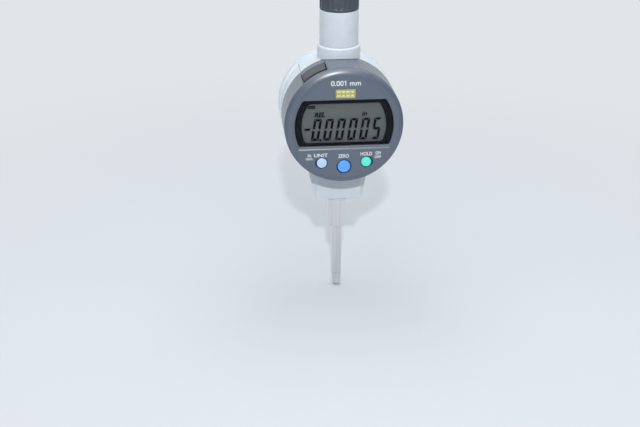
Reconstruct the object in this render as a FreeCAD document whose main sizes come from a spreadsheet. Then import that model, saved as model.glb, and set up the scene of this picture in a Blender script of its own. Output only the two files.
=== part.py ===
import FreeCAD, Part
import math
import os
import Sketcher

# Digital indicator, in millimetres.
# The origin lies on the axis of the stem and the spindle, halfway along the stem's round wall.
# +Z runs up the spindle, the display faces -Y and +X is to the right of the reader.
# Most pieces are drawn about the centre of the display and lifted by face_height.

SIZES = [
    ("head_radius", 29.5, "outside of the turning display head"),
    ("face_front", 26.5, "printed face in front of the stem axis"),
    ("seam_front", 24.5, "seam between bezel and rear shell"),
    ("head_back", 5.2, "rear face of the head in front of the stem axis"),
    ("rim_width", 3.6, "rounded rim of the bezel"),
    ("rim_crest", 2.5, "crest of the rim, in from the outside"),
    ("rim_rise", 0.5, "crest of the rim above the printed face"),
    ("bezel_wall", 1.8, "thickness of the face"),
    ("bezel_lip", 1.55, "thickness of the lip that enters the shell"),
    ("lip_length", 1.6, "reach of the lip behind the seam"),
    ("lip_gap", 0.05, "gap between lip and shell"),
    ("shell_wall", 2.0, "side wall of the rear shell"),
    ("shell_back", 2.4, "rear wall of the rear shell"),
    ("shell_round", 0.6, "rounding of the shell's rear edge"),
    ("window_border", 1.7, "face left between rim and window"),
    ("window_top", 13.6, "upper chord of the window"),
    ("window_bottom", 10.2, "lower chord of the window"),
    ("window_gap", 0.06, "gap round the window"),
    ("window_sink", 0.3, "window behind the printed face"),
    ("window_flange", 0.95, "flange round the window, behind the face"),
    ("flange_thickness", 0.8, "thickness of the window's flange"),
    ("panel_rise", 0.4, "button panel above the printed face"),
    ("panel_top", 12.0, "upper edge of the button panel"),
    ("panel_slope", 1.0, "height of the slope above the button panel"),
    ("side_button", 2.5, "radius of the left and right buttons"),
    ("middle_button", 3.15, "radius of the middle button"),
    ("button_gap", 0.3, "gap round a button"),
    ("button_stand", 0.5, "buttons above the panel"),
    ("button_crown", 0.3, "crown of a button"),
    ("button_flange", 0.9, "flange round a button's foot"),
    ("button_foot", 0.65, "thickness of a button's flange"),
    ("button_travel", 0.5, "travel of a button"),
    ("button_spread", 11.1, "left and right buttons from the middle"),
    ("side_inset", 7.1, "side buttons above the lower edge of the printed face"),
    ("middle_inset", 5.0, "middle button above the lower edge of the printed face"),
    ("lcd_half_width", 21.2, "half width of the liquid crystal panel"),
    ("lcd_hidden", 0.7, "panel hidden above and below the window's opening"),
    ("lcd_thickness", 1.9, "thickness of the liquid crystal panel"),
    ("lcd_gap", 0.1, "gap round the liquid crystal panel"),
    ("frame_wall", 0.9, "wall of the panel's frame"),
    ("frame_depth", 2.3, "frame behind the liquid crystal panel"),
    ("frame_ledge", 1.7, "ledge that carries the liquid crystal panel"),
    ("strip_thickness", 1.8, "contact strip across its length"),
    ("board_gap", 1.1, "gap between main board and shell"),
    ("board_thickness", 1.2, "circuit boards"),
    ("pad_thickness", 0.8, "rubber sheet under the buttons"),
    ("pad_width", 15.5, "half width of the rubber sheet"),
    ("pad_top", 14.2, "upper edge of the rubber sheet"),
    ("boss_radius", 2.2, "screw bosses in the head"),
    ("boss_inset", 4.9, "screw bosses in from the head's outside"),
    ("boss_clearance", 0.95, "low screw bosses below the window's flange"),
    ("screw_radius", 1.0, "screws that close head and housing"),
    ("screw_head", 1.9, "head of those screws"),
    ("screw_head_depth", 1.2, "depth of those heads"),
    ("small_screw", 0.8, "screws of the plate, the detector board and the scale holder"),
    ("small_screw_head", 1.55, "head of those screws"),
    ("small_screw_head_depth", 0.9, "depth of those heads"),
    ("drive_depth", 0.5, "depth of the cross recess in a screw head"),
    ("cell_radius", 5.8, "button cell"),
    ("cell_thickness", 5.4, "button cell"),
    ("cell_inset", 10.3, "centre of the button cell in from the head's outside"),
    ("cell_depth", 13.8, "middle of the button cell in front of the stem axis"),
    ("cell_gap", 0.06, "gap round the button cell"),
    ("cell_cap", 4.6, "raised cap of the button cell"),
    ("cell_cap_height", 0.5, "raised cap of the button cell"),
    ("leaf_half_width", 4.0, "contact leaf under the cell"),
    ("leaf_half_depth", 1.9, "contact leaf under the cell"),
    ("leaf_thickness", 0.24, "contact leaf under the cell"),
    ("holder_wall", 1.2, "walls of the battery holder"),
    ("lid_angle", 34.0, "battery lid, right of the top"),
    ("lid_span", 38.0, "angle that the battery lid covers"),
    ("lid_rib_half_width", 2.9, "rib of the lid that holds the cell"),
    ("lid_rib_half_depth", 2.1, "rib of the lid that holds the cell"),
    ("cover_angle", 29.5, "connector cover, left of the top"),
    ("cover_span", 27.0, "angle that the connector cover covers"),
    ("cover_sink", 1.0, "connector cover below the rim"),
    ("cover_flange_angle", 4.0, "angle that the cover's inner flange reaches past it"),
    ("cover_flange", 0.5, "thickness of that flange"),
    ("socket_half_width", 6.0, "output connector"),
    ("socket_height", 7.5, "output connector"),
    ("socket_depth", 6.4, "output connector"),
    ("socket_wall", 0.8, "output connector"),
    ("socket_pin", 0.28, "half width of the output connector's pins"),
    ("opening_front", 23.7, "front edge of both openings in the rim"),
    ("opening_back", 8.3, "rear edge of both openings in the rim"),
    ("cover_gap", 0.12, "gap round lid and cover"),
    ("end_angle", 0.5, "angle left free between the ends of lid or cover and the shell"),
    ("swivel_gap", 0.3, "gap between head and housing"),
    ("slack", 0.2, "free room round pieces that need no fit"),
    ("spigot_radius", 8.5, "spigot that the head turns on"),
    ("spigot_bore", 5.0, "cable bore of the spigot"),
    ("spigot_fit", 0.06, "running clearance of the head on the spigot"),
    ("washer_thickness", 0.3, "friction washer"),
    ("retainer_radius", 11.0, "plate that holds the head on"),
    ("retainer_thickness", 1.0, "plate that holds the head on"),
    ("retainer_pitch", 6.75, "screws of that plate"),
    ("stop_place", 13.1, "stop pin from the head's axis"),
    ("stop_radius", 1.0, "stop pin"),
    ("stop_groove_depth", 1.2, "groove that the stop pin runs in"),
    ("stop_groove_span", 340.0, "angle of the groove"),
    ("housing_step", 0.05, "round part of the housing inside the head's outside"),
    ("housing_back", 13.2, "rear rim of the housing behind the stem axis"),
    ("housing_wall", 2.5, "side wall of the housing"),
    ("housing_front_wall", 1.6, "front wall of the housing"),
    ("housing_bevel", 0.7, "bevel of the rear cover's outer edge"),
    ("grip_start", 43.0, "angle from the top where a side recess of the housing starts"),
    ("grip_span", 66.0, "angle that a side recess covers"),
    ("grip_depth", 0.9, "depth of the side recesses"),
    ("grip_ramp", 0.8, "bevel at both ends of a side recess"),
    ("grip_back", 9.3, "rear end of the side recesses behind the stem axis"),
    ("chin_front", 6.5, "front face of the chin before the stem axis"),
    ("chin_face_width", 22.5, "flat front of the chin"),
    ("chin_foot", 12.1, "half width of the chin at its foot"),
    ("chin_reach", 17.5, "foot of the chin below the head's outside"),
    ("chin_round", 2.8, "rounded lower corners of the chin"),
    ("chin_floor", 5.5, "solid foot of the chin"),
    ("collar_radius", 10.8, "collar on top of the housing"),
    ("collar_rise", 5.2, "top of the collar above the head's outside"),
    ("collar_round", 1.0, "rounded top edge of the collar"),
    ("collar_lift", 1.5, "foot of the collar's front above the head's outside"),
    ("collar_root", 22.7, "lower end of the collar below its top"),
    ("collar_flare", 1.2, "hollow rounding between collar and housing"),
    ("cover_boss", 2.6, "screw bosses of the rear cover"),
    ("cover_boss_inset", 5.2, "screw bosses of the rear cover in from the housing's outside"),
    ("cover_screw_length", 7.0, "screws of the rear cover"),
    ("neck_radius", 9.75, "neck tube and cap"),
    ("neck_length", 17.8, "neck tube between collar and cap"),
    ("neck_spigot", 7.5, "threaded spigot of the collar that carries the neck tube"),
    ("neck_spigot_length", 5.0, "length of that spigot"),
    ("neck_bore", 6.0, "bore of the neck tube"),
    ("neck_bevel", 0.45, "bevel at the top of the neck tube"),
    ("cap_thread", 8.2, "threaded top of the neck tube"),
    ("cap_thread_length", 5.0, "length of that thread"),
    ("cap_height", 17.0, "height of the cap"),
    ("cap_wall", 2.0, "top wall of the cap"),
    ("cap_round", 1.2, "rounded top edge of the cap"),
    ("cap_band", 1.2, "plain band at the foot of the cap"),
    ("flute_count", 24, "flutes round the cap"),
    ("flute_radius", 0.9, "radius of a flute"),
    ("flute_bite", 0.3, "depth of a flute"),
    ("bush_radius", 4.0, "upper bush"),
    ("bush_drop", 10.7, "foot of the upper bush below the top of the collar"),
    ("bush_sink", 5.5, "top of the upper bush below the top of the collar"),
    ("bush_fit", 0.02, "running clearance of the spindle in its bushes"),
    ("boss_outer", 5.4, "boss under the chin"),
    ("boss_drop", 1.8, "height of the boss under the chin"),
    ("stem_radius", 4.7625, "stem, three eighths of an inch across"),
    ("stem_length", 15.6, "free length of the stem"),
    ("stem_chamfer", 0.5, "chamfer at the foot of the stem"),
    ("stem_root", 4.3, "part of the stem that is pressed into the chin"),
    ("stem_bush_radius", 3.4, "lower bush inside the stem"),
    ("spindle_radius", 2.5, "spindle"),
    ("spindle_free", 28.3, "spindle below the stem at rest"),
    ("spindle_rise", 5.3, "top of the spindle at rest above the top of the collar"),
    ("point_length", 7.3, "contact point"),
    ("point_radius", 2.4, "contact point"),
    ("point_thread", 1.42, "thread of the contact point"),
    ("point_thread_length", 4.5, "length of that thread"),
    ("travel", 25.4, "travel of the spindle, one inch"),
    ("bumper_height", 1.45, "rubber bumper under the scale holder"),
    ("bumper_radius", 4.6, "rubber bumper under the scale holder"),
    ("bumper_gap", 0.05, "gap under the scale holder at rest"),
    ("holder_height", 16.0, "scale holder"),
    ("holder_width", 10.0, "scale holder"),
    ("holder_front", 1.0, "open front of the scale holder's saddle"),
    ("holder_back", 3.4, "rear face of the scale holder"),
    ("scale_length", 33.0, "main scale"),
    ("scale_width", 9.0, "main scale"),
    ("scale_thickness", 1.2, "main scale"),
    ("scale_lift", 5.0, "foot of the scale above the holder's foot"),
    ("guide_pin_radius", 1.0, "pin that keeps the spindle from turning"),
    ("guide_pin_height", 8.0, "guide pin above the holder's foot"),
    ("guide_pin_depth", 1.2, "guide pin behind the stem axis"),
    ("guide_pin_reach", 10.2, "end of the guide pin from the stem axis"),
    ("guide_fit", 0.05, "running clearance of the guide pin"),
    ("rail_near", 7.0, "near face of the guide rail"),
    ("rail_far", 11.2, "far face of the guide rail"),
    ("rail_back", 5.0, "rear face of the guide rail"),
    ("rail_foot_margin", 4.5, "rail below the guide pin at rest"),
    ("rail_head_margin", 4.0, "rail above the guide pin at full travel"),
    ("seat_radius", 3.15, "spring seat on the spindle"),
    ("seat_height", 1.2, "spring seat on the spindle"),
    ("spring_radius", 2.9, "mean radius of the return spring"),
    ("spring_wire", 0.2, "wire radius of the return spring"),
    ("spring_turns", 10, "turns of the return spring"),
    ("sensor_gap", 0.6, "gap between main scale and detector board"),
    ("sensor_half_width", 15.7, "half width of the detector board"),
    ("sensor_height", 24.0, "height of the detector board"),
    ("sensor_middle", 7.0, "middle of the detector board below the face centre"),
    ("post_radius", 1.8, "posts of the detector board"),
    ("post_x", 13.6, "posts of the detector board, sideways"),
    ("post_margin", 2.2, "posts in from the board's upper and lower edges"),
    ("gasket_thickness", 0.4, "gasket under the rear cover"),
    ("gasket_inset", 0.5, "gasket in from the housing's outside"),
    ("gasket_width", 1.5, "width of the gasket"),
    ("cover_thickness", 2.2, "rear cover"),
    ("lug_disc", 11.0, "round base of the lug"),
    ("lug_disc_height", 0.8, "height of that base"),
    ("lug_thickness", 6.35, "lug"),
    ("lug_radius", 7.0, "rounded end of the lug"),
    ("lug_reach", 9.0, "hole of the lug behind its base"),
    ("lug_hole", 3.175, "hole of the lug, a quarter of an inch across"),
]


# Proportions, and the room that a cut has outside the material
RIM_INNER_CURVE = 1.05
RIM_OUTER_CURVE = 1.28
CHIN_TAPER = 0.233
CHIN_SHOULDER_DROP = 0.7
CHIN_WAIST = 0.5
COVER_BOSS_RISE = 0.64
DRIVE_REACH = 0.62
DRIVE_WIDTH = 0.3
OVERSHOOT = 1.0
SMALLEST_CHANGE = 1e-4
SAME_PLACE = 1e-3


class Length:
    """A number together with the formula that ties it to the sheet."""

    def __init__(self, number, formula):
        self.number = float(number)
        self.formula = formula

    def __add__(self, other):
        other = length(other)
        return Length(self.number + other.number, f"({self.formula} + {other.formula})")

    def __sub__(self, other):
        other = length(other)
        return Length(self.number - other.number, f"({self.formula} - {other.formula})")

    def __mul__(self, other):
        other = length(other)
        return Length(self.number * other.number, f"({self.formula} * {other.formula})")

    def __truediv__(self, other):
        other = length(other)
        return Length(self.number / other.number, f"({self.formula} / {other.formula})")

    def __neg__(self):
        return Length(-self.number, f"(0 - {self.formula})")

    def __radd__(self, other):
        return length(other) + self

    def __rsub__(self, other):
        return length(other) - self

    def __rmul__(self, other):
        return length(other) * self


def length(value):
    """A Length from a Length or from a plain number."""
    if isinstance(value, Length):
        return value
    return Length(value, f"({value:.10g})")


def root(value):
    return Length(math.sqrt(value.number), f"sqrt({value.formula})")


def side_of(radius, height):
    """Half the chord of a circle at a height from its centre."""
    return root(radius * radius - height * height)


doc = FreeCAD.newDocument("DigitalIndicator")
sheet = doc.addObject("Spreadsheet::Sheet", "Sizes")
for row, (name, value, meaning) in enumerate(SIZES, start=1):
    sheet.set(f"A{row}", name)
    sheet.set(f"B{row}", f"{value}")
    sheet.set(f"C{row}", meaning)
    sheet.setAlias(f"B{row}", name)
doc.recompute()
S = {name: Length(value, f"Sizes.{name}") for name, value, meaning in SIZES}

bodies = []
ZERO = length(0)


def new_body(name, height, turn=None, x=None):
    """An empty body, lifted to a height and, if asked, turned about the head's axis."""
    body = doc.addObject("PartDesign::Body", name)
    body.Label = name
    body.AllowCompound = True
    angle = turn.number if turn else 0.0
    left = x.number if x else 0.0
    body.Placement = FreeCAD.Placement(
        FreeCAD.Vector(left, 0, height.number),
        FreeCAD.Rotation(FreeCAD.Vector(0, 1, 0), angle),
    )
    body.setExpression("Placement.Base.z", height.formula)
    if x:
        body.setExpression("Placement.Base.x", x.formula)
    if turn:
        body.setExpression("Placement.Rotation.Angle", turn.formula)
    bodies.append(body)
    return body


def new_sketch(body, name, plane, start=ZERO, turn=None):
    """A sketch on one of the body's own planes.

    start moves it along the plane's normal: +Z for XY, -Y for XZ and +X for YZ.
    turn tilts it about its own horizontal axis.
    """
    sketch = body.newObject("Sketcher::SketchObject", name)
    wanted = plane + "_Plane"
    support = [item for item in body.Origin.OriginFeatures if item.Role == wanted][0]
    sketch.AttachmentSupport = (support, [""])
    sketch.MapMode = "FlatFace"
    angle = turn.number if turn else 0.0
    sketch.AttachmentOffset = FreeCAD.Placement(
        FreeCAD.Vector(0, 0, start.number),
        FreeCAD.Rotation(FreeCAD.Vector(1, 0, 0), angle),
    )
    sketch.setExpression("AttachmentOffset.Base.z", start.formula)
    if turn:
        sketch.setExpression("AttachmentOffset.Rotation.Angle", turn.formula)
    return sketch


def bind(sketch, kind, parts, value):
    """One dimension of a sketch, tied to its formula."""
    index = sketch.addConstraint(Sketcher.Constraint(kind, *parts, value.number))
    sketch.setExpression(f"Constraints[{index}]", value.formula)


def draw_circle(sketch, radius, x=ZERO, y=ZERO):
    x = length(x)
    y = length(y)
    centre = FreeCAD.Vector(x.number, y.number, 0)
    index = sketch.addGeometry(Part.Circle(centre, FreeCAD.Vector(0, 0, 1), radius.number))
    bind(sketch, "Radius", (index,), radius)
    bind(sketch, "DistanceX", (index, 3), x)
    bind(sketch, "DistanceY", (index, 3), y)


def arc_between(first, last, radius, turning, large):
    """The arc from first to last, with its start and end in counterclockwise order."""
    chord = last - first
    middle = (first + last) / 2
    rise = math.sqrt(max(radius ** 2 - (chord.Length / 2) ** 2, 0.0))
    left = FreeCAD.Vector(-chord.y, chord.x, 0).normalize()
    side = 1 if (turning == "left") != large else -1
    centre = middle + left * rise * side
    begin, end = (first, last) if turning == "left" else (last, first)
    circle = Part.Circle(centre, FreeCAD.Vector(0, 0, 1), radius)
    begin_angle = math.atan2(begin.y - centre.y, begin.x - centre.x)
    end_angle = math.atan2(end.y - centre.y, end.x - centre.x)
    if end_angle <= begin_angle:
        end_angle += 2 * math.pi
    return Part.ArcOfCircle(circle, begin_angle, end_angle)


def draw_outline(sketch, corners):
    """A closed outline from its corners, in order.

    A corner is (x, y), or (x, y, radius, turning, large) where the side that
    leaves it is an arc that turns left or right, large for the long way round.
    """
    places = [(length(corner[0]), length(corner[1])) for corner in corners]
    vectors = [FreeCAD.Vector(x.number, y.number, 0) for x, y in places]
    sides = []
    for index, corner in enumerate(corners):
        first = vectors[index]
        last = vectors[(index + 1) % len(corners)]
        if len(corner) == 2:
            side = sketch.addGeometry(Part.LineSegment(first, last))
            sides.append((side, 1, 2))
            continue
        radius, turning, large = corner[2:]
        side = sketch.addGeometry(arc_between(first, last, radius.number, turning, large))
        sides.append((side, 1, 2) if turning == "left" else (side, 2, 1))
        bind(sketch, "Radius", (side,), radius)
    for index, (side, begin, end) in enumerate(sides):
        after, after_begin, after_end = sides[(index + 1) % len(sides)]
        sketch.addConstraint(Sketcher.Constraint("Coincident", side, end, after, after_begin))
        bind(sketch, "DistanceX", (side, begin), places[index][0])
        bind(sketch, "DistanceY", (side, begin), places[index][1])


def solid_volume(body):
    return body.Shape.Volume if body.Tip else 0.0


def settle(body, feature, before, adds):
    """Recompute and make sure that the feature added or took away material."""
    body.Tip = feature
    doc.recompute()
    change = solid_volume(body) - before
    if (change if adds else -change) < SMALLEST_CHANGE:
        raise ValueError(f"{body.Label}: {feature.Name} changed the volume by {change:.5f}")
    return feature


def extrude(body, sketch, depth, cut=False):
    """Pad or pocket along the sketch's normal, from the sketch onwards."""
    before = solid_volume(body)
    kind = "PartDesign::Pocket" if cut else "PartDesign::Pad"
    feature = body.newObject(kind, sketch.Name + ("_cut" if cut else "_pad"))
    feature.Profile = sketch
    feature.Reversed = cut
    feature.Length = depth.number
    feature.setExpression("Length", depth.formula)
    return settle(body, feature, before, not cut)


def turn_round(body, sketch, axis, cut=False, angle=None):
    """Revolution or groove about an axis of the sketch, to both sides if not full."""
    before = solid_volume(body)
    kind = "PartDesign::Groove" if cut else "PartDesign::Revolution"
    feature = body.newObject(kind, sketch.Name + ("_groove" if cut else "_turned"))
    feature.Profile = sketch
    feature.ReferenceAxis = (sketch, [axis])
    feature.Angle = angle.number if angle else 360.0
    if angle:
        feature.Midplane = True
        feature.setExpression("Angle", angle.formula)
    return settle(body, feature, before, not cut)


def edges_of(body, test):
    """Names of the edges of the body's last feature that pass a test."""
    edges = body.Tip.Shape.Edges
    return [f"Edge{index}" for index, edge in enumerate(edges, start=1) if test(edge)]


def round_edges(body, name, test, radius, chamfer=False):
    base = body.Tip
    chosen = edges_of(body, test)
    if not chosen:
        raise ValueError(f"{body.Label}: no edge found for {name}")
    feature = body.newObject("PartDesign::Chamfer" if chamfer else "PartDesign::Fillet", name)
    feature.Base = (base, chosen)
    setting = "Size" if chamfer else "Radius"
    setattr(feature, setting, radius.number)
    feature.setExpression(setting, radius.formula)
    body.Tip = feature
    doc.recompute()
    return feature


def pattern(body, feature, plane_axis, count, angle=360.0):
    """Repeat a feature about one of the body's own axes."""
    copies = body.newObject("PartDesign::PolarPattern", feature.Name + "_copies")
    copies.Originals = [feature]
    axis = [item for item in body.Origin.OriginFeatures if item.Role == plane_axis][0]
    copies.Axis = (axis, [""])
    copies.Angle = angle
    copies.Occurrences = int(count.number)
    copies.setExpression("Occurrences", count.formula)
    before = solid_volume(body)
    body.Tip = copies
    doc.recompute()
    if abs(solid_volume(body) - before) < SMALLEST_CHANGE:
        raise ValueError(f"{body.Label}: {copies.Name} changed nothing")
    return copies


def close_to(value, wanted):
    return abs(value - wanted) < SAME_PLACE


def rectangle(left, bottom, right, top):
    return [(left, bottom), (right, bottom), (right, top), (left, top)]


def tube(body, name, outer, inner, foot, top):
    """A ring or tube about the vertical axis."""
    sketch = new_sketch(body, name, "XZ")
    draw_outline(sketch, rectangle(inner, foot, outer, top))
    return turn_round(body, sketch, "V_Axis")


def plate(body, name, corners, front, back, cut=False):
    """An outline in the plane of the face, from a front depth to a back depth."""
    sketch = new_sketch(body, name, "XZ", -back)
    draw_outline(sketch, corners)
    return extrude(body, sketch, back - front, cut)


def disc(body, name, radius, front, back, cut=False, x=ZERO, z=ZERO):
    """A round plate or round hole along Y, from a front depth to a back depth."""
    sketch = new_sketch(body, name, "XZ", -back)
    draw_circle(sketch, radius, x, z)
    return extrude(body, sketch, back - front, cut)


def clipped_circle(radius, top, bottom):
    """A circle whose top and bottom are cut off by level chords."""
    upper = side_of(radius, top)
    lower = side_of(radius, bottom)
    return [
        (lower, -bottom, radius, "left", False),
        (upper, top),
        (-upper, top, radius, "left", False),
        (-lower, -bottom),
    ]


# Heights that many pieces share, above the middle of the stem
chin_drop = S["head_radius"] + S["chin_reach"]
stem_wall = S["stem_length"] - S["stem_chamfer"]
face_height = stem_wall / 2 + S["boss_drop"] + chin_drop

# Depths along Y that many pieces share: negative in front of the stem axis
face_depth = -S["face_front"]
seam_depth = -S["seam_front"]
head_back_depth = -S["head_back"]
shell_floor = head_back_depth - S["shell_back"]
housing_front = head_back_depth + S["swivel_gap"]
housing_floor = housing_front + S["housing_front_wall"]
face_back = face_depth + S["bezel_wall"]
window_front = face_depth + S["window_sink"]
flange_back = face_back + S["flange_thickness"]
panel_front = face_depth - S["panel_rise"]
lip_back = seam_depth + S["lip_length"]
lcd_front = flange_back + S["lcd_gap"]
lcd_back = lcd_front + S["lcd_thickness"]
board_front = lcd_back + S["frame_depth"]
board_back = board_front + S["board_thickness"]
spigot_front = shell_floor - S["washer_thickness"]
retainer_front = spigot_front - S["retainer_thickness"]

# Radii of the head
shell_bore = S["head_radius"] - S["shell_wall"]
face_radius = S["head_radius"] - S["rim_width"]
lip_outer = shell_bore - S["lip_gap"]
lip_inner = lip_outer - S["bezel_lip"]
window_radius = face_radius - S["window_border"]
boss_circle = S["head_radius"] - S["boss_inset"]
side_drop = face_radius - S["side_inset"]
middle_drop = face_radius - S["middle_inset"]
cell_place = S["head_radius"] - S["cell_inset"]
lcd_top = S["window_top"] - S["lcd_hidden"]
lcd_bottom = S["window_bottom"] + S["lcd_hidden"]

# The round part of the housing and the heights that hang on it
housing_radius = S["head_radius"] - S["housing_step"]
shoulder_drop = housing_radius * CHIN_SHOULDER_DROP
shoulder = S["chin_foot"] + (chin_drop - shoulder_drop) * CHIN_TAPER
collar_top = S["head_radius"] + S["collar_rise"]
neck_top = collar_top + S["neck_length"]
bush_foot = collar_top - S["bush_drop"]
cover_boss_circle = housing_radius - S["cover_boss_inset"]

# Heights along the spindle, from the face centre
chin_bottom = -chin_drop
chin_ceiling = chin_bottom + S["chin_floor"]
stem_top = chin_bottom - S["boss_drop"]
stem_foot = stem_top - S["stem_length"]
spindle_foot = stem_foot - S["spindle_free"]
tip = spindle_foot - S["point_length"]
spindle_top = collar_top + S["spindle_rise"]
holder_foot = chin_ceiling + S["bumper_height"] + S["bumper_gap"]
holder_top = holder_foot + S["holder_height"]
seat_top = holder_top + S["seat_height"]
pin_height = holder_foot + S["guide_pin_height"]


def boss_places():
    """Screw bosses of the head: one at the top, two beside the buttons."""
    low = -S["window_bottom"] - S["window_flange"] - S["boss_radius"] - S["boss_clearance"]
    across = side_of(boss_circle, low)
    return [(ZERO, boss_circle), (across, low), (-across, low)]


def make_front_bezel():
    body = new_body("front_bezel", face_height)
    crest = S["head_radius"] - S["rim_crest"]
    crest_depth = face_depth - S["rim_rise"]
    inner_arc = (crest - face_radius) * RIM_INNER_CURVE
    outer_arc = S["rim_crest"] * RIM_OUTER_CURVE
    section = new_sketch(body, "bezel_section", "YZ")
    draw_outline(section, [
        (panel_front, ZERO),
        (face_back, ZERO),
        (face_back, lip_inner),
        (lip_back, lip_inner),
        (lip_back, lip_outer),
        (seam_depth, lip_outer),
        (seam_depth, S["head_radius"], outer_arc, "left", False),
        (crest_depth, crest, inner_arc, "left", False),
        (panel_front, face_radius),
    ])
    turn_round(body, section, "H_Axis")
    upper = side_of(face_radius, S["panel_top"])
    plate(body, "upper_face", [
        (upper, -S["panel_top"], face_radius, "left", True),
        (-upper, -S["panel_top"]),
    ], panel_front, face_depth, cut=True)
    slope = new_sketch(body, "panel_slope_section", "YZ", -upper)
    draw_outline(slope, [
        (face_depth, -S["panel_top"]),
        (face_depth, -S["panel_top"] + S["panel_slope"]),
        (panel_front, -S["panel_top"]),
    ])
    extrude(body, slope, upper * 2)
    plate(body, "window_opening",
          clipped_circle(window_radius, S["window_top"], S["window_bottom"]),
          panel_front, face_back, cut=True)
    for name, x, z, radius in button_places():
        disc(body, name + "_hole", radius + S["button_gap"], panel_front, face_back,
             cut=True, x=x, z=z)
    for index, (x, z) in enumerate(boss_places(), start=1):
        disc(body, f"bezel_boss_{index}", S["boss_radius"], face_back, lip_back, x=x, z=z)
        disc(body, f"bezel_pilot_{index}", S["screw_radius"], face_back + S["slack"],
             lip_back, cut=True, x=x, z=z)


def button_places():
    side = S["button_spread"]
    return [
        ("left_button", -side, -side_drop, S["side_button"]),
        ("middle_button", ZERO, -middle_drop, S["middle_button"]),
        ("right_button", side, -side_drop, S["side_button"]),
    ]


def make_button(name, x, z, radius):
    """A round key with a crowned front and a flange that rests behind the panel."""
    body = new_body(name, face_height + z, x=x)
    front = panel_front - S["button_stand"]
    flange_front = face_back + S["lip_gap"]
    foot = flange_front + S["button_foot"]
    crown = S["button_crown"]
    section = new_sketch(body, name + "_section", "YZ")
    ball = (radius * radius + crown * crown) / (crown * 2)
    draw_outline(section, [
        (front, ZERO),
        (foot, ZERO),
        (foot, radius + S["button_flange"]),
        (flange_front, radius + S["button_flange"]),
        (flange_front, radius),
        (front + crown, radius, ball, "left", False),
    ])
    turn_round(body, section, "H_Axis")


def make_rear_shell():
    body = new_body("rear_shell", face_height)
    bore = S["spigot_radius"] + S["spigot_fit"]
    section = new_sketch(body, "shell_section", "YZ")
    draw_outline(section, [
        (seam_depth, shell_bore),
        (shell_floor, shell_bore),
        (shell_floor, bore),
        (head_back_depth, bore),
        (head_back_depth, S["head_radius"] - S["shell_round"]),
        (head_back_depth - S["shell_round"], S["head_radius"]),
        (seam_depth, S["head_radius"]),
    ])
    turn_round(body, section, "H_Axis")
    for index, (x, z) in enumerate(boss_places(), start=1):
        disc(body, f"shell_boss_{index}", S["boss_radius"], lip_back, shell_floor, x=x, z=z)
        disc(body, f"shell_hole_{index}", S["screw_radius"] + S["lip_gap"], lip_back,
             head_back_depth, cut=True, x=x, z=z)
        disc(body, f"shell_counterbore_{index}", S["screw_head"] + S["lip_gap"],
             head_back_depth - S["screw_head_depth"], head_back_depth, cut=True, x=x, z=z)
    openings = [
        ("battery_opening", S["lid_angle"], S["lid_span"]),
        ("connector_opening", -S["cover_angle"], S["cover_span"]),
    ]
    beyond = S["head_radius"] + S["shell_wall"]
    within = shell_bore - S["shell_wall"]
    for name, turn, span in openings:
        opening = new_sketch(body, name, "YZ", turn=turn)
        draw_outline(opening, rectangle(-S["opening_front"], within, -S["opening_back"], beyond))
        turn_round(body, opening, "H_Axis", cut=True, angle=span)
    groove = new_sketch(body, "stop_groove", "YZ")
    half = S["stop_radius"] + S["slack"] / 2
    draw_outline(groove, rectangle(
        head_back_depth - S["stop_groove_depth"], -S["stop_place"] - half,
        head_back_depth, -S["stop_place"] + half))
    turn_round(body, groove, "H_Axis", cut=True, angle=S["stop_groove_span"])


def make_display_window():
    body = new_body("display_window", face_height)
    gap = S["window_gap"]
    flange = S["window_flange"]
    plate(body, "lens", clipped_circle(window_radius - gap, S["window_top"] - gap,
                                       S["window_bottom"] - gap), window_front, face_back)
    plate(body, "lens_flange", clipped_circle(window_radius + flange, S["window_top"] + flange,
                                              S["window_bottom"] + flange),
          face_back, flange_back)


def make_lcd_panel():
    body = new_body("lcd_panel", face_height)
    half = S["lcd_half_width"]
    ledge = S["frame_ledge"]
    middle = (lcd_front + lcd_back) / 2
    plate(body, "front_glass", rectangle(-half, -lcd_bottom, half, lcd_top),
          middle, lcd_back)
    plate(body, "rear_glass", rectangle(-half, -lcd_bottom + ledge, half, lcd_top),
          lcd_front, middle)


def make_lcd_frame():
    body = new_body("lcd_frame", face_height)
    gap = S["lcd_gap"]
    wall = gap + S["frame_wall"]
    half = S["lcd_half_width"]
    front = lip_back + gap
    plate(body, "frame_block", rectangle(-half - wall, -lcd_bottom - wall, half + wall,
                                         lcd_top + wall), front, board_front)
    plate(body, "frame_pocket", rectangle(-half - gap, -lcd_bottom - gap, half + gap,
                                          lcd_top + gap), front, lcd_back, cut=True)
    ledge = S["frame_ledge"]
    plate(body, "frame_opening", rectangle(-half + ledge, -lcd_bottom, half - ledge,
                                           lcd_top - ledge),
          lcd_back, board_front, cut=True)


def make_contact_strip():
    body = new_body("contact_strip", face_height)
    half = S["lcd_half_width"] - S["frame_ledge"] - S["lcd_gap"]
    foot = -lcd_bottom + S["lcd_gap"]
    plate(body, "strip", rectangle(-half, foot, half, foot + S["strip_thickness"]),
          lcd_back, board_front)


def make_main_board():
    body = new_body("main_board", face_height)
    disc(body, "board", shell_bore - S["board_gap"], board_front, board_back)
    notch = S["boss_radius"] + S["slack"]
    for index, (x, z) in enumerate(boss_places(), start=1):
        disc(body, f"board_notch_{index}", notch, board_front, board_back, cut=True, x=x, z=z)


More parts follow.
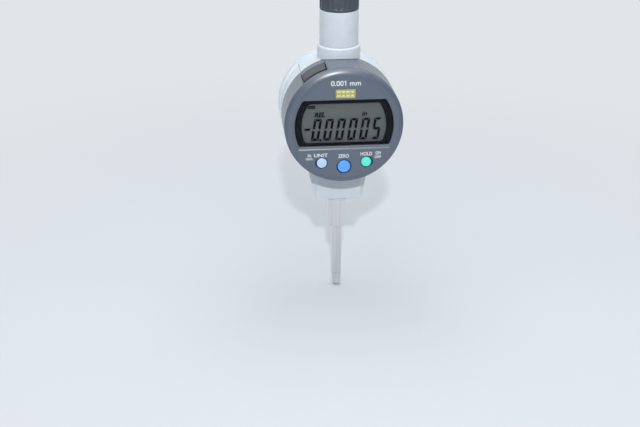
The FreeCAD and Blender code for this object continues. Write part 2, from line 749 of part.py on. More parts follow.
def make_button_pad():
    body = new_body("button_pad", face_height)
    rest = face_back + S["lip_gap"] + S["button_foot"]
    front = rest + S["button_travel"] + S["lip_gap"]
    back = front + S["pad_thickness"]
    half = S["pad_width"]
    foot = -side_of(lip_inner - S["lip_gap"], half)
    plate(body, "pad_sheet", [
        (half, -S["pad_top"]),
        (-half, -S["pad_top"]),
        (-half, foot, lip_inner - S["lip_gap"], "left", False),
        (half, foot),
    ], front, back)
    for name, x, z, radius in button_places():
        disc(body, name + "_dome", radius, back, board_front, x=x, z=z)


def make_battery():
    body = new_body("battery", face_height, turn=S["lid_angle"])
    front = -S["cell_depth"] - S["cell_thickness"] / 2
    back = front + S["cell_thickness"]
    cap = S["cell_cap_height"]
    disc(body, "cell_can", S["cell_radius"], front + cap, back, z=cell_place)
    disc(body, "cell_cap", S["cell_cap"], front, front + cap, z=cell_place)


def make_battery_holder():
    body = new_body("battery_holder", face_height, turn=S["lid_angle"])
    half = S["cell_radius"] + S["cell_gap"]
    outer = half + S["holder_wall"]
    foot = cell_place - half - S["holder_wall"] * 2
    top = side_of(shell_bore, outer) - S["slack"] / 2
    back = -S["cell_depth"] + S["cell_thickness"] / 2 + S["cell_gap"]
    front = -S["cell_depth"] - S["cell_thickness"] / 2 - S["cell_gap"]
    plate(body, "holder_block", rectangle(-outer, foot, outer, top),
          board_back, back + S["holder_wall"])
    slot_foot = foot + S["holder_wall"]
    plate(body, "holder_slot", rectangle(-half, slot_foot, half, top + S["holder_wall"]),
          front, back, cut=True)


def make_battery_contact():
    """A bent leaf of spring sheet between the cell and the floor of its holder."""
    body = new_body("battery_contact", face_height, turn=S["lid_angle"])
    half = S["leaf_half_width"]
    sheet_thickness = S["leaf_thickness"]
    top = cell_place - S["cell_radius"]
    foot = top - S["holder_wall"] - S["cell_gap"]
    plate(body, "leaf", [
        (-half, foot),
        (-half + sheet_thickness, foot),
        (ZERO, top - sheet_thickness),
        (half - sheet_thickness, foot),
        (half, foot),
        (ZERO, top),
    ], -S["cell_depth"] - S["leaf_half_depth"], -S["cell_depth"] + S["leaf_half_depth"])


def make_battery_lid():
    """The part of the rim that lifts out, with the rib that holds the cell in."""
    body = new_body("battery_lid", face_height, turn=S["lid_angle"])
    gap = S["cover_gap"]
    section = new_sketch(body, "lid_section", "YZ")
    draw_outline(section, rectangle(-S["opening_front"] + gap, shell_bore,
                                    -S["opening_back"] - gap, S["head_radius"]))
    turn_round(body, section, "H_Axis", angle=S["lid_span"] - S["end_angle"])
    rib = S["lid_rib_half_depth"]
    rib_half = S["lid_rib_half_width"]
    foot = cell_place + S["cell_radius"] + S["cell_gap"]
    plate(body, "lid_rib", rectangle(-rib_half, foot, rib_half, shell_bore + S["shell_wall"] / 2),
          -S["cell_depth"] - rib, -S["cell_depth"] + rib)


def make_connector_cover():
    """The rubber cover in the rim recess, held by a wider flange inside."""
    body = new_body("connector_cover", face_height, turn=-S["cover_angle"])
    gap = S["cover_gap"]
    margin = S["cover_flange"]
    section = new_sketch(body, "cover_section", "YZ")
    front = -S["opening_front"] + gap
    back = -S["opening_back"] - gap
    outside = S["head_radius"] - S["cover_sink"]
    draw_outline(section, [
        (front, shell_bore),
        (lip_back + gap, shell_bore),
        (lip_back + gap, shell_bore - gap),
        (back, shell_bore - gap),
        (back, outside),
        (front, outside),
    ])
    turn_round(body, section, "H_Axis", angle=S["cover_span"] - S["end_angle"])
    flange = new_sketch(body, "cover_flange", "YZ")
    draw_outline(flange, rectangle(lip_back + gap, shell_bore - gap - margin,
                                   shell_floor - gap, shell_bore - gap))
    turn_round(body, flange, "H_Axis", angle=S["cover_span"] + S["cover_flange_angle"])


def make_output_connector():
    """The socket behind the rubber cover, on the rear of the main board."""
    body = new_body("output_connector", face_height, turn=-S["cover_angle"])
    half = S["socket_half_width"]
    wall = S["socket_wall"]
    top = side_of(shell_bore, half) - S["cover_gap"] * 2 - S["cover_flange"]
    foot = top - S["socket_height"]
    back = board_back + S["socket_depth"]
    middle = (board_back + back) / 2
    pin = S["socket_pin"]
    plate(body, "socket_block", rectangle(-half, foot, half, top), board_back, back)
    plate(body, "socket_mouth", rectangle(-half + wall, foot + wall, half - wall, top + wall),
          board_back + wall, back - wall, cut=True)
    for index in range(5):
        place = (half - wall * 2) * (index - 2) / 2
        plate(body, f"socket_pin_{index + 1}",
              rectangle(place - pin, foot + wall / 2, place + pin, top - wall),
              middle - pin, middle + pin)


def screw(body, name, x, z, shank_radius, head_radius, head_depth, shank_end, head_face):
    """A flat-headed screw along Y whose head, with its cross recess, faces the back."""
    disc(body, name + "_head", head_radius, head_face - head_depth, head_face, x=x, z=z)
    disc(body, name + "_shank", shank_radius, shank_end, head_face - head_depth, x=x, z=z)
    reach = head_radius * DRIVE_REACH
    half = head_radius * DRIVE_WIDTH / 2
    quarter = [(half, half), (half, reach), (-half, reach)]
    corners = []
    for _ in range(4):
        corners += [(x + across, z + up) for across, up in quarter]
        quarter = [(-up, across) for across, up in quarter]
    plate(body, name + "_drive", corners, head_face - S["drive_depth"], head_face, cut=True)


def make_head_screws():
    body = new_body("head_screws", face_height)
    for index, (x, z) in enumerate(boss_places(), start=1):
        screw(body, f"head_screw_{index}", x, z, S["screw_radius"], S["screw_head"],
              S["screw_head_depth"] - S["lip_gap"], face_back + S["slack"] + S["lip_gap"],
              head_back_depth - S["lip_gap"])


def chin_outline(inset):
    """The chin seen from the front, drawn in from its outside by an inset."""
    top = shoulder - inset
    foot = S["chin_foot"] - inset
    return [
        (-foot, chin_bottom + inset),
        (foot, chin_bottom + inset),
        (top, -shoulder_drop),
        (top * CHIN_WAIST, ZERO),
        (-top * CHIN_WAIST, ZERO),
        (-top, -shoulder_drop),
    ]


def is_chin_corner(inset):
    """Test for the edges along Y at the two lower corners of the chin."""
    foot = S["chin_foot"].number - inset.number
    level = chin_bottom.number + inset.number

    def test(edge):
        box = edge.BoundBox
        upright = close_to(box.XLength, 0) and close_to(box.ZLength, 0)
        centre = box.Center
        return upright and close_to(abs(centre.x), foot) and close_to(centre.z, level)

    return test


def make_main_housing():
    body = new_body("main_housing", face_height)
    back = S["housing_back"]
    add_chin(body, back)
    before_collar = -S["collar_radius"] - S["collar_flare"] - length(OVERSHOOT)
    disc(body, "round_housing", housing_radius, before_collar, back)
    add_collar(body)
    disc(body, "head_recess", S["head_radius"] + S["collar_lift"], before_collar,
         housing_front, cut=True)
    disc(body, "spigot", S["spigot_radius"], spigot_front, housing_front)
    disc(body, "cavity", housing_radius - S["housing_wall"], housing_floor, back, cut=True)
    inner = chin_outline(S["housing_wall"])
    inner[0] = (inner[0][0], chin_ceiling)
    inner[1] = (inner[1][0], chin_ceiling)
    plate(body, "chin_cavity", inner, housing_floor, back, cut=True)
    add_side_recesses(body)
    add_housing_bosses(body, back)
    boss = new_sketch(body, "stem_boss", "XY", stem_top)
    draw_circle(boss, S["boss_outer"])
    extrude(body, boss, chin_ceiling - stem_top - S["housing_wall"])
    cut_spindle_bores(body)
    disc(body, "cable_bore", S["spigot_bore"], spigot_front, housing_floor, cut=True)
    disc(body, "stop_pin_hole", S["stop_radius"], housing_front, housing_floor, cut=True,
         z=-S["stop_place"])
    for index in range(3):
        x, z = retainer_place(index)
        disc(body, f"retainer_hole_{index + 1}", S["small_screw"], spigot_front,
             housing_front, cut=True, x=x, z=z)


def add_chin(body, back):
    """The chin with its rounded foot and a facet on either side of its flat front."""
    front = -S["chin_front"]
    plate(body, "chin", chin_outline(ZERO), front, back)
    round_edges(body, "chin_corners", is_chin_corner(ZERO), S["chin_round"])
    flat = S["chin_face_width"] / 2
    wide = shoulder + S["housing_wall"]
    outside = front - length(OVERSHOOT)
    for name, side in (("left_facet", -1), ("right_facet", 1)):
        facet = new_sketch(body, name, "XY", chin_bottom - S["housing_wall"])
        draw_outline(facet, [
            (flat * side, outside),
            (flat * side, front),
            (wide * side, front + wide - flat),
            (wide * side, outside),
        ])
        extrude(body, facet, chin_drop + S["housing_wall"], cut=True)


def add_collar(body):
    """The collar with its rounded top, a hollow rounding at its root and the neck's spigot."""
    collar = new_sketch(body, "collar", "XY", collar_top - S["collar_root"])
    draw_circle(collar, S["collar_radius"])
    extrude(body, collar, S["collar_root"])
    round_edges(body, "collar_edge", is_level_circle(S["collar_radius"], collar_top),
                S["collar_round"])
    round_edges(body, "collar_foot", is_collar_root, S["collar_flare"])
    spigot = new_sketch(body, "neck_spigot", "XY", collar_top)
    draw_circle(spigot, S["neck_spigot"])
    extrude(body, spigot, S["neck_spigot_length"])


def is_collar_root(edge):
    """Test for the curve in which the collar meets the round part of the housing."""
    box = edge.BoundBox
    places = [vertex.Point for vertex in edge.Vertexes]
    on_disc = all(close_to(math.hypot(p.x, p.z), housing_radius.number) for p in places)
    on_collar = all(close_to(math.hypot(p.x, p.y), S["collar_radius"].number) for p in places)
    return on_disc and on_collar and box.ZLength > SAME_PLACE and box.ZMin > 0


def add_side_recesses(body):
    """The shallow recesses in both sides of the round part, open to the front, with sloped walls."""
    inside = housing_radius - S["grip_depth"]
    outside = housing_radius + length(OVERSHOOT)
    middle = S["grip_start"] + S["grip_span"] / 2
    for name, turn in (("right_recess", middle), ("left_recess", -middle)):
        recess = new_sketch(body, name, "YZ", turn=turn)
        draw_outline(recess, [
            (housing_front, inside),
            (S["grip_back"], inside),
            (S["grip_back"] + outside - inside, outside),
            (housing_front, outside),
        ])
        turn_round(body, recess, "H_Axis", cut=True, angle=S["grip_span"])
    round_edges(body, "recess_ramps", is_recess_end, S["grip_ramp"], chamfer=True)


def is_recess_end(edge):
    """Test for the outer edges at both ends of the side recesses."""
    box = edge.BoundBox
    centre = box.Center
    radius = math.hypot(centre.x, centre.z)
    along = close_to(box.XLength, 0) and close_to(box.ZLength, 0) and box.YLength > SAME_PLACE
    return along and close_to(radius, housing_radius.number)


def cut_spindle_bores(body):
    """The bores for stem, upper bush and neck tube, all on the stem axis."""
    bores = [
        ("stem_bore", S["stem_root"], stem_top, chin_ceiling),
        ("bush_bore", S["bush_radius"], bush_foot, collar_top + S["neck_spigot_length"]),
    ]
    for name, radius, foot, top in bores:
        bore = new_sketch(body, name, "XY", foot)
        draw_circle(bore, radius)
        extrude(body, bore, top - foot, cut=True)


def is_level_circle(radius, height):
    def test(edge):
        curve = edge.Curve
        box = edge.BoundBox
        level = close_to(box.ZLength, 0) and close_to(box.ZMin, height.number)
        return level and curve.TypeId == "Part::GeomCircle" and close_to(curve.Radius, radius.number)
    return test


def cover_places():
    up = cover_boss_circle * COVER_BOSS_RISE
    across = side_of(cover_boss_circle, up)
    return [(across, up), (-across, up), (across, -up), (-across, -up)]


def post_places():
    across = S["post_x"]
    high = -S["sensor_middle"] + S["sensor_height"] / 2 - S["post_margin"]
    low = -S["sensor_middle"] - S["sensor_height"] / 2 + S["post_margin"]
    return [(across, high), (-across, high), (across, low), (-across, low)]


sensor_front = S["holder_back"] + S["scale_thickness"] + S["sensor_gap"]
sensor_back = sensor_front + S["board_thickness"]


def add_housing_bosses(body, back):
    """Bosses for the screws of the rear cover and posts for the detector board."""
    for index, (x, z) in enumerate(cover_places(), start=1):
        disc(body, f"cover_boss_{index}", S["cover_boss"], housing_floor, back, x=x, z=z)
        disc(body, f"cover_pilot_{index}", S["screw_radius"], back - S["cover_screw_length"],
             back, cut=True, x=x, z=z)
    for index, (x, z) in enumerate(post_places(), start=1):
        disc(body, f"board_post_{index}", S["post_radius"], housing_floor, sensor_front,
             x=x, z=z)
        disc(body, f"post_pilot_{index}", S["small_screw"],
             sensor_front - S["post_radius"] * 2, sensor_front, cut=True, x=x, z=z)


def retainer_place(index):
    """Screws of the retaining plate, a third of a turn apart from the top."""
    sine = (0, math.sqrt(3) / 2, -math.sqrt(3) / 2)[index]
    cosine = (1, -0.5, -0.5)[index]
    return S["retainer_pitch"] * sine, S["retainer_pitch"] * cosine


def make_friction_washer():
    body = new_body("friction_washer", face_height)
    slack = S["lip_gap"] / 2
    disc(body, "washer", S["retainer_radius"] - S["slack"], spigot_front, shell_floor - slack)
    disc(body, "washer_hole", S["spigot_radius"] + S["spigot_fit"], spigot_front,
         shell_floor - slack, cut=True)


def make_retaining_plate():
    body = new_body("retaining_plate", face_height)
    disc(body, "retainer", S["retainer_radius"], retainer_front, spigot_front)
    disc(body, "retainer_bore", S["spigot_bore"], retainer_front, spigot_front, cut=True)
    for index in range(3):
        x, z = retainer_place(index)
        disc(body, f"retainer_clear_{index + 1}", S["small_screw"], retainer_front,
             spigot_front, cut=True, x=x, z=z)


def make_retainer_screws():
    body = new_body("retainer_screws", face_height)
    for index in range(3):
        x, z = retainer_place(index)
        disc(body, f"retainer_screw_head_{index + 1}", S["small_screw_head"],
             retainer_front - S["small_screw_head_depth"], retainer_front, x=x, z=z)
        disc(body, f"retainer_screw_shank_{index + 1}", S["small_screw"],
             retainer_front, housing_front, x=x, z=z)


def make_stop_pin():
    body = new_body("stop_pin", face_height)
    reach = S["stop_groove_depth"] - S["slack"]
    disc(body, "pin", S["stop_radius"], head_back_depth - reach, housing_floor,
         z=-S["stop_place"])


def make_stem():
    body = new_body("stem", face_height)
    section = new_sketch(body, "stem_section", "XZ")
    chamfer = S["stem_chamfer"]
    draw_outline(section, [
        (S["stem_bush_radius"], stem_foot),
        (S["stem_radius"] - chamfer, stem_foot),
        (S["stem_radius"], stem_foot + chamfer),
        (S["stem_radius"], stem_top),
        (S["stem_root"], stem_top),
        (S["stem_root"], chin_ceiling),
        (S["stem_bush_radius"], chin_ceiling),
    ])
    turn_round(body, section, "V_Axis")


def make_stem_bush():
    body = new_body("stem_bush", face_height)
    tube(body, "stem_bush_section", S["stem_bush_radius"], S["spindle_radius"] + S["bush_fit"],
         stem_foot + S["stem_chamfer"], chin_ceiling)


def make_stop_bumper():
    body = new_body("stop_bumper", face_height)
    tube(body, "bumper_section", S["bumper_radius"], S["spindle_radius"] + S["slack"],
         chin_ceiling, chin_ceiling + S["bumper_height"])
    flat = new_sketch(body, "bumper_front", "XY", chin_ceiling)
    side = S["bumper_radius"] + length(OVERSHOOT)
    draw_outline(flat, rectangle(-side, -side, side, housing_floor))
    extrude(body, flat, S["bumper_height"], cut=True)


def make_upper_bush():
    body = new_body("upper_bush", face_height)
    top = collar_top - S["bush_sink"]
    tube(body, "upper_bush_section", S["bush_radius"], S["spindle_radius"] + S["bush_fit"],
         bush_foot, top)


def make_neck_tube():
    """The tube that screws onto the collar's spigot, with the cap's thread on top."""
    body = new_body("neck_tube", face_height)
    spigot_top = collar_top + S["neck_spigot_length"]
    section = new_sketch(body, "neck_section", "XZ")
    chamfer = S["stem_chamfer"] / 2
    draw_outline(section, [
        (S["neck_bore"], spigot_top),
        (S["neck_spigot"], spigot_top),
        (S["neck_spigot"], collar_top),
        (S["neck_radius"] - chamfer, collar_top),
        (S["neck_radius"], collar_top + chamfer),
        (S["neck_radius"], neck_top - S["neck_bevel"]),
        (S["neck_radius"] - S["neck_bevel"], neck_top),
        (S["cap_thread"], neck_top),
        (S["cap_thread"], neck_top + S["cap_thread_length"]),
        (S["neck_bore"], neck_top + S["cap_thread_length"]),
    ])
    turn_round(body, section, "V_Axis")


def make_cap():
    """The fluted cap that screws onto the neck tube over the top of the spindle."""
    body = new_body("cap", face_height)
    foot = neck_top
    top = foot + S["cap_height"]
    inside = S["cap_thread"] - S["cap_wall"] / 2
    section = new_sketch(body, "cap_section", "XZ")
    draw_outline(section, [
        (S["cap_thread"], foot),
        (S["neck_radius"], foot),
        (S["neck_radius"], top - S["cap_round"], S["cap_round"], "left", False),
        (S["neck_radius"] - S["cap_round"], top),
        (ZERO, top),
        (ZERO, top - S["cap_wall"]),
        (inside, top - S["cap_wall"]),
        (inside, foot + S["cap_thread_length"]),
        (S["cap_thread"], foot + S["cap_thread_length"]),
    ])
    turn_round(body, section, "V_Axis")
    flute = new_sketch(body, "flute", "XY", foot + S["cap_band"])
    draw_circle(flute, S["flute_radius"], S["neck_radius"] + S["flute_radius"] - S["flute_bite"])
    cut = extrude(body, flute, S["cap_height"] - S["cap_band"], cut=True)
    pattern(body, cut, "Z_Axis", S["flute_count"])


def make_spindle():
    body = new_body("spindle", face_height)
    section = new_sketch(body, "spindle_section", "XZ")
    chamfer = S["stem_chamfer"] / 2
    thread = S["point_thread"]
    draw_outline(section, [
        (ZERO, spindle_foot + S["point_thread_length"]),
        (thread, spindle_foot + S["point_thread_length"]),
        (thread, spindle_foot),
        (S["spindle_radius"] - chamfer, spindle_foot),
        (S["spindle_radius"], spindle_foot + chamfer),
        (S["spindle_radius"], spindle_top - chamfer),
        (S["spindle_radius"] - chamfer, spindle_top),
        (ZERO, spindle_top),
    ])
    turn_round(body, section, "V_Axis")
    disc(body, "spindle_pilot", S["small_screw"], ZERO,
         S["spindle_radius"] + length(OVERSHOOT), cut=True, z=holder_screw_height())


def holder_screw_height():
    return holder_foot + S["scale_lift"] / 2


def make_contact_point():
    body = new_body("contact_point", face_height)
    section = new_sketch(body, "point_section", "XZ")
    thread = S["point_thread"]
    radius = S["point_radius"]
    draw_outline(section, [
        (ZERO, tip, radius, "left", False),
        (radius, tip + radius),
        (radius, spindle_foot),
        (thread, spindle_foot),
        (thread, spindle_foot + S["point_thread_length"]),
        (ZERO, spindle_foot + S["point_thread_length"]),
    ])
    turn_round(body, section, "V_Axis")


def make_scale_holder():
    body = new_body("scale_holder", face_height)
    half = S["holder_width"] / 2
    block = new_sketch(body, "holder_block", "XY", holder_foot)
    draw_outline(block, rectangle(-half, -S["holder_front"], half, S["holder_back"]))
    extrude(body, block, S["holder_height"])
    saddle = new_sketch(body, "saddle", "XY", holder_foot)
    draw_circle(saddle, S["spindle_radius"])
    extrude(body, saddle, S["holder_height"], cut=True)
    disc(body, "holder_screw_hole", S["small_screw"], ZERO, S["holder_back"], cut=True,
         z=holder_screw_height())
    pin = new_sketch(body, "guide_pin_hole", "YZ", half - S["guide_pin_radius"])
    draw_circle(pin, S["guide_pin_radius"], S["guide_pin_depth"], pin_height)
    extrude(body, pin, S["guide_pin_radius"], cut=True)


def make_holder_screw():
    body = new_body("holder_screw", face_height)
    height = holder_screw_height()
    disc(body, "holder_screw_head", S["small_screw_head"], S["holder_back"],
         S["holder_back"] + S["small_screw_head_depth"], z=height)
    disc(body, "holder_screw_shank", S["small_screw"], S["slack"], S["holder_back"], z=height)


def make_main_scale():
    body = new_body("main_scale", face_height)
    half = S["scale_width"] / 2
    foot = holder_foot + S["scale_lift"]
    plate(body, "scale", rectangle(-half, foot, half, foot + S["scale_length"]),
          S["holder_back"], S["holder_back"] + S["scale_thickness"])


def make_guide_pin():
    body = new_body("guide_pin", face_height)
    start = S["holder_width"] / 2 - S["guide_pin_radius"]
    pin = new_sketch(body, "guide_pin_section", "YZ", start)
    draw_circle(pin, S["guide_pin_radius"], S["guide_pin_depth"], pin_height)
    extrude(body, pin, S["guide_pin_reach"] - start)


def make_guide_rail():
    """A channel that the guide pin slides in."""
    body = new_body("guide_rail", face_height)
    foot = pin_height - S["rail_foot_margin"]
    top = pin_height + S["travel"] + S["rail_head_margin"]
    rail = new_sketch(body, "rail", "XY", foot)
    draw_outline(rail, rectangle(S["rail_near"], housing_floor, S["rail_far"], S["rail_back"]))
    extrude(body, rail, top - foot)
    slot = new_sketch(body, "rail_slot", "XY", foot)
    half = S["guide_pin_radius"] + S["guide_fit"]
    draw_outline(slot, rectangle(S["rail_near"], S["guide_pin_depth"] - half,
                                 S["guide_pin_reach"] + S["slack"],
                                 S["guide_pin_depth"] + half))
    extrude(body, slot, top - foot, cut=True)


def make_spring_seat():
    body = new_body("spring_seat", face_height)
    tube(body, "seat_section", S["seat_radius"], S["spindle_radius"], holder_top, seat_top)


def make_return_spring():
    body = new_body("return_spring", face_height)
    wire = S["spring_wire"]
    section = new_sketch(body, "wire_section", "XZ")
    draw_circle(section, wire, S["spring_radius"], seat_top + wire)
    coil = body.newObject("PartDesign::AdditiveHelix", "coil")
    coil.Profile = section
    coil.ReferenceAxis = (section, ["V_Axis"])
    coil.Mode = 0
    height = bush_foot - seat_top - wire * 2
    pitch = height / S["spring_turns"]
    coil.Pitch = pitch.number
    coil.Height = height.number
    coil.setExpression("Pitch", pitch.formula)
    coil.setExpression("Height", height.formula)
    settle(body, coil, 0.0, True)


def make_detector_board():
    """The circuit board that reads the main scale, with its sensing chip."""
    body = new_body("detector_board", face_height)
    half = S["sensor_half_width"]
    middle = -S["sensor_middle"]
    up = S["sensor_height"] / 2
    plate(body, "sensor_board", rectangle(-half, middle - up, half, middle + up),
          sensor_front, sensor_back)
    chip = S["scale_width"] / 2
    plate(body, "sensor_chip", rectangle(-chip, middle - chip, chip, middle + chip),
          sensor_back, sensor_back + S["board_thickness"])
    for index, (x, z) in enumerate(post_places(), start=1):
        disc(body, f"sensor_hole_{index}", S["small_screw"], sensor_front, sensor_back,
             cut=True, x=x, z=z)


def make_board_screws():
    body = new_body("board_screws", face_height)
    for index, (x, z) in enumerate(post_places(), start=1):
        screw(body, f"board_screw_{index}", x, z, S["small_screw"], S["small_screw_head"],
              S["small_screw_head_depth"], sensor_front - S["post_radius"] * 2 + S["lip_gap"],
              sensor_back + S["small_screw_head_depth"])


def make_cover_gasket():
    body = new_body("cover_gasket", face_height)
    front = S["housing_back"]
    back = front + S["gasket_thickness"]
    outside = S["gasket_inset"]
    inside = outside + S["gasket_width"]
    disc(body, "gasket_disc", housing_radius - outside, front, back)
    plate(body, "gasket_chin", chin_outline(outside), front, back)
    disc(body, "gasket_opening", housing_radius - inside, front, back, cut=True)
    plate(body, "gasket_chin_opening", chin_outline(inside), front, back, cut=True)


def make_rear_cover():
    """The flat back with a lug whose hole lies across the spindle."""
    body = new_body("rear_cover", face_height)
    front = S["housing_back"] + S["gasket_thickness"]
    back = front + S["cover_thickness"]
    plate(body, "cover_chin", chin_outline(ZERO), front, back)
    round_edges(body, "cover_corners", is_chin_corner(ZERO), S["chin_round"])
    disc(body, "cover_disc", housing_radius, front, back)
    round_edges(body, "cover_edge", is_rear_outline(back), S["housing_bevel"], chamfer=True)
    base = back + S["lug_disc_height"]
    disc(body, "lug_base", S["lug_disc"], back, base)
    lug = new_sketch(body, "lug", "YZ", -S["lug_thickness"] / 2)
    centre = base + S["lug_reach"]
    radius = S["lug_radius"]
    draw_outline(lug, [
        (base - S["lug_disc_height"], -radius),
        (centre, -radius, radius, "left", False),
        (centre + radius, ZERO, radius, "left", False),
        (centre, radius),
        (base - S["lug_disc_height"], radius),
    ])
    extrude(body, lug, S["lug_thickness"])
    hole = new_sketch(body, "lug_hole", "YZ", -S["lug_thickness"] / 2)
    draw_circle(hole, S["lug_hole"], centre, ZERO)
    extrude(body, hole, S["lug_thickness"], cut=True)
    for index, (x, z) in enumerate(cover_places(), start=1):
        disc(body, f"cover_hole_{index}", S["screw_radius"], front, back, cut=True, x=x, z=z)
        disc(body, f"cover_counterbore_{index}", S["screw_head"], back - S["screw_head_depth"],
             back, cut=True, x=x, z=z)


def is_rear_outline(back):
    """Test for the outer edges of a plate's rear face."""
    def test(edge):
        box = edge.BoundBox
        return close_to(box.YLength, 0) and close_to(box.YMin, back.number)
    return test


def make_cover_screws():
    body = new_body("cover_screws", face_height)
    back = S["housing_back"] + S["gasket_thickness"] + S["cover_thickness"]
    end = S["housing_back"] - S["cover_screw_length"] + S["slack"]
    for index, (x, z) in enumerate(cover_places(), start=1):
        screw(body, f"cover_screw_{index}", x, z, S["screw_radius"], S["screw_head"],
              S["screw_head_depth"], end, back)


make_main_housing()
make_rear_cover()
make_cover_gasket()
make_cover_screws()
make_stem()
make_stem_bush()
make_stop_bumper()
make_upper_bush()
make_neck_tube()
make_cap()
make_guide_rail()
make_detector_board()
make_board_screws()
make_stop_pin()
make_friction_washer()
make_retaining_plate()
make_retainer_screws()
make_front_bezel()
make_rear_shell()
make_display_window()
make_lcd_panel()
make_lcd_frame()
make_contact_strip()
make_main_board()
make_button_pad()
make_battery_holder()
make_battery()
make_battery_contact()
make_battery_lid()
make_connector_cover()
make_output_connector()
make_head_screws()
for button_name, button_x, button_z, button_radius in button_places():
    make_button(button_name, button_x, button_z, button_radius)
make_spindle()
make_contact_point()
make_scale_holder()
make_main_scale()
make_guide_pin()
make_holder_screw()
make_spring_seat()
make_return_spring()

doc.recompute()
for item in doc.Objects:
    if "Invalid" in item.State or "Error" in item.State:
        raise ValueError(f"{item.Name} failed: {item.State}")
for body in bodies:
    if body.Shape.isNull() or not body.Shape.isValid() or not body.Shape.Solids:
        raise ValueError(f"{body.Label} has no valid solid")

os.makedirs("parts", exist_ok=True)
for body in bodies:
    body.Shape.exportStep(os.path.join("parts", body.Label + ".step"))
print(len(bodies), "nodes written")
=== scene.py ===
import math

import bmesh
import bpy
from mathutils import Matrix, Vector


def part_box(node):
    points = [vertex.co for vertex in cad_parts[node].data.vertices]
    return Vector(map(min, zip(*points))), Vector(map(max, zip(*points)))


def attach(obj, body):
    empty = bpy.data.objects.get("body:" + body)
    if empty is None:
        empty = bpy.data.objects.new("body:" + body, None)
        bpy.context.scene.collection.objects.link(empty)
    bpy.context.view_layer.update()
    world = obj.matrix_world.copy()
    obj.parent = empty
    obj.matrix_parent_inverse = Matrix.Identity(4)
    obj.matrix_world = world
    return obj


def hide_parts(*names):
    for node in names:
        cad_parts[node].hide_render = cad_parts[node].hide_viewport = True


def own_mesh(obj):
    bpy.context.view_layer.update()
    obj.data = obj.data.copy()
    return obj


# The digital indicator in metres, in the frame of its CAD model: +Z up the spindle,
# the display faces -Y. Lengths are in metres, and those written here are millimetres times MM.
# Angles are in degrees.

MM = 0.001
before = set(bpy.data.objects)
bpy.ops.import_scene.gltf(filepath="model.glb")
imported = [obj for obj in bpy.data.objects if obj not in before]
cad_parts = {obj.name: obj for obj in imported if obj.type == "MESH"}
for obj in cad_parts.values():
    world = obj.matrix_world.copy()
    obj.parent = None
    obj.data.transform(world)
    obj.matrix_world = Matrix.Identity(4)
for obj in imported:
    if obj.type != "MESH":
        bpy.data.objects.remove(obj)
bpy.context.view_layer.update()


def box_of(node):
    """Lowest and highest corner of a CAD node, as vectors."""
    low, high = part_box(node)
    return Vector(low), Vector(high)


bezel_low, bezel_high = box_of("front_bezel")
shell_low, shell_high = box_of("rear_shell")
lcd_low, lcd_high = box_of("lcd_panel")
cap_low, cap_high = box_of("cap")
window_front = box_of("display_window")[0].y
tip_level = box_of("contact_point")[0].z

# Driving dimensions of the display head, from the frame
face_height = (bezel_low.z + bezel_high.z) / 2
head_centre = Vector((0.0, 0.0, face_height))
head_radius = (bezel_high.x - bezel_low.x) / 2
crest_depth = bezel_low.y
panel_depth = crest_depth + 0.1 * MM
face_depth = crest_depth + 0.5 * MM
seam_depth = shell_low.y
face_back = face_depth + 1.8 * MM
face_radius = head_radius - 3.6 * MM
landing_radius = face_radius - 1.2 * MM
crest_radius = head_radius - 3.1 * MM
panel_radius = crest_radius + 0.15 * MM
window_radius = face_radius - 1.4 * MM
window_top = 13.6 * MM
window_bottom = -10.2 * MM
view_radius = 21.0 * MM
view_top = 11.6 * MM
view_bottom = -8.8 * MM
panel_top = -12.0 * MM
slope_top = -10.9 * MM
slope_foot = panel_top - 0.2 * MM

# How full the rim's round crown is: 1 is a quarter of an ellipse, more is flatter
CROWN_FULLNESS = 1.35

# The keys: name, place across, place up, radius, and how far their hole lies to the right.
# Below: the gap round them, their rounded edge and crown, and the skirt under each.
KEYS = [
    ("left_button", -11.1 * MM, -18.8 * MM, 2.5 * MM, -0.28 * MM),
    ("middle_button", 0.0, -20.9 * MM, 3.15 * MM, 0.0),
    ("right_button", 11.1 * MM, -18.8 * MM, 2.5 * MM, 0.28 * MM),
]
KEY_GAP = 0.55 * MM
KEY_ROUND = 0.38 * MM
KEY_CROWN = 0.12 * MM
SKIRT_GAP = 0.02 * MM
SKIRT_WALL = 0.25 * MM
SKIRT_FLANGE = 0.88 * MM

# The window: its thickness, and where the black print behind it begins and ends
LENS_THICKNESS = 0.9 * MM
BORDER_FRONT = 0.92 * MM
BORDER_BACK = 1.30 * MM

# The groove between bezel and rear shell, and how deep its seal lies; the seal's black is also
# painted shade of the groove
SEAM_WIDTH = 0.6 * MM
SEAM_SINK = 1.0 * MM
SEAL_SINK = 0.3 * MM
seam_front = seam_depth - SEAM_WIDTH
groove_radius = head_radius - SEAM_SINK

# The rear shell's bore, and the rear end of the bezel's lip inside it
SHELL_BORE = head_radius - 2.0 * MM
LIP_BACK = seam_depth + 1.6 * MM

# The connector cover: its middle from the top, its angle, its floor below the rim, the ridge
# before the flap, the strip of the shell behind it, and how far short the flap stops
COVER_TURN = -29.5
COVER_SPAN = 26.5
COVER_SINK = 1.9 * MM
COVER_GAP = 0.12 * MM
NAIL_SLOT = 6.6 * MM
RIDGE_HEIGHT = 0.6 * MM
COVER_BRIDGE = 2.8 * MM
FLAP_SHIFT = 0.9

# The collar's radius, how far its foot is cut away over the head, and the lip in that gap:
# its wall and its clearance to the head
COLLAR_RADIUS = 10.8 * MM
COLLAR_LIFT = 1.5 * MM
LIP_WALL = 0.8 * MM
LIP_CLEARANCE = 0.15 * MM

# The return spring: the radius of its wire, and its coils
WIRE_RADIUS = 0.2 * MM
COILS = 10

# The cap: its flutes, the round at its top, its bore with a step, and the wall above the bore
FLUTES = 24
FLUTE_DEPTH = 0.32 * MM
CAP_ROUND = 1.2 * MM
CAP_BORE = 8.2 * MM
CAP_STEP = 1.0 * MM
CAP_TOP_WALL = 2.0 * MM

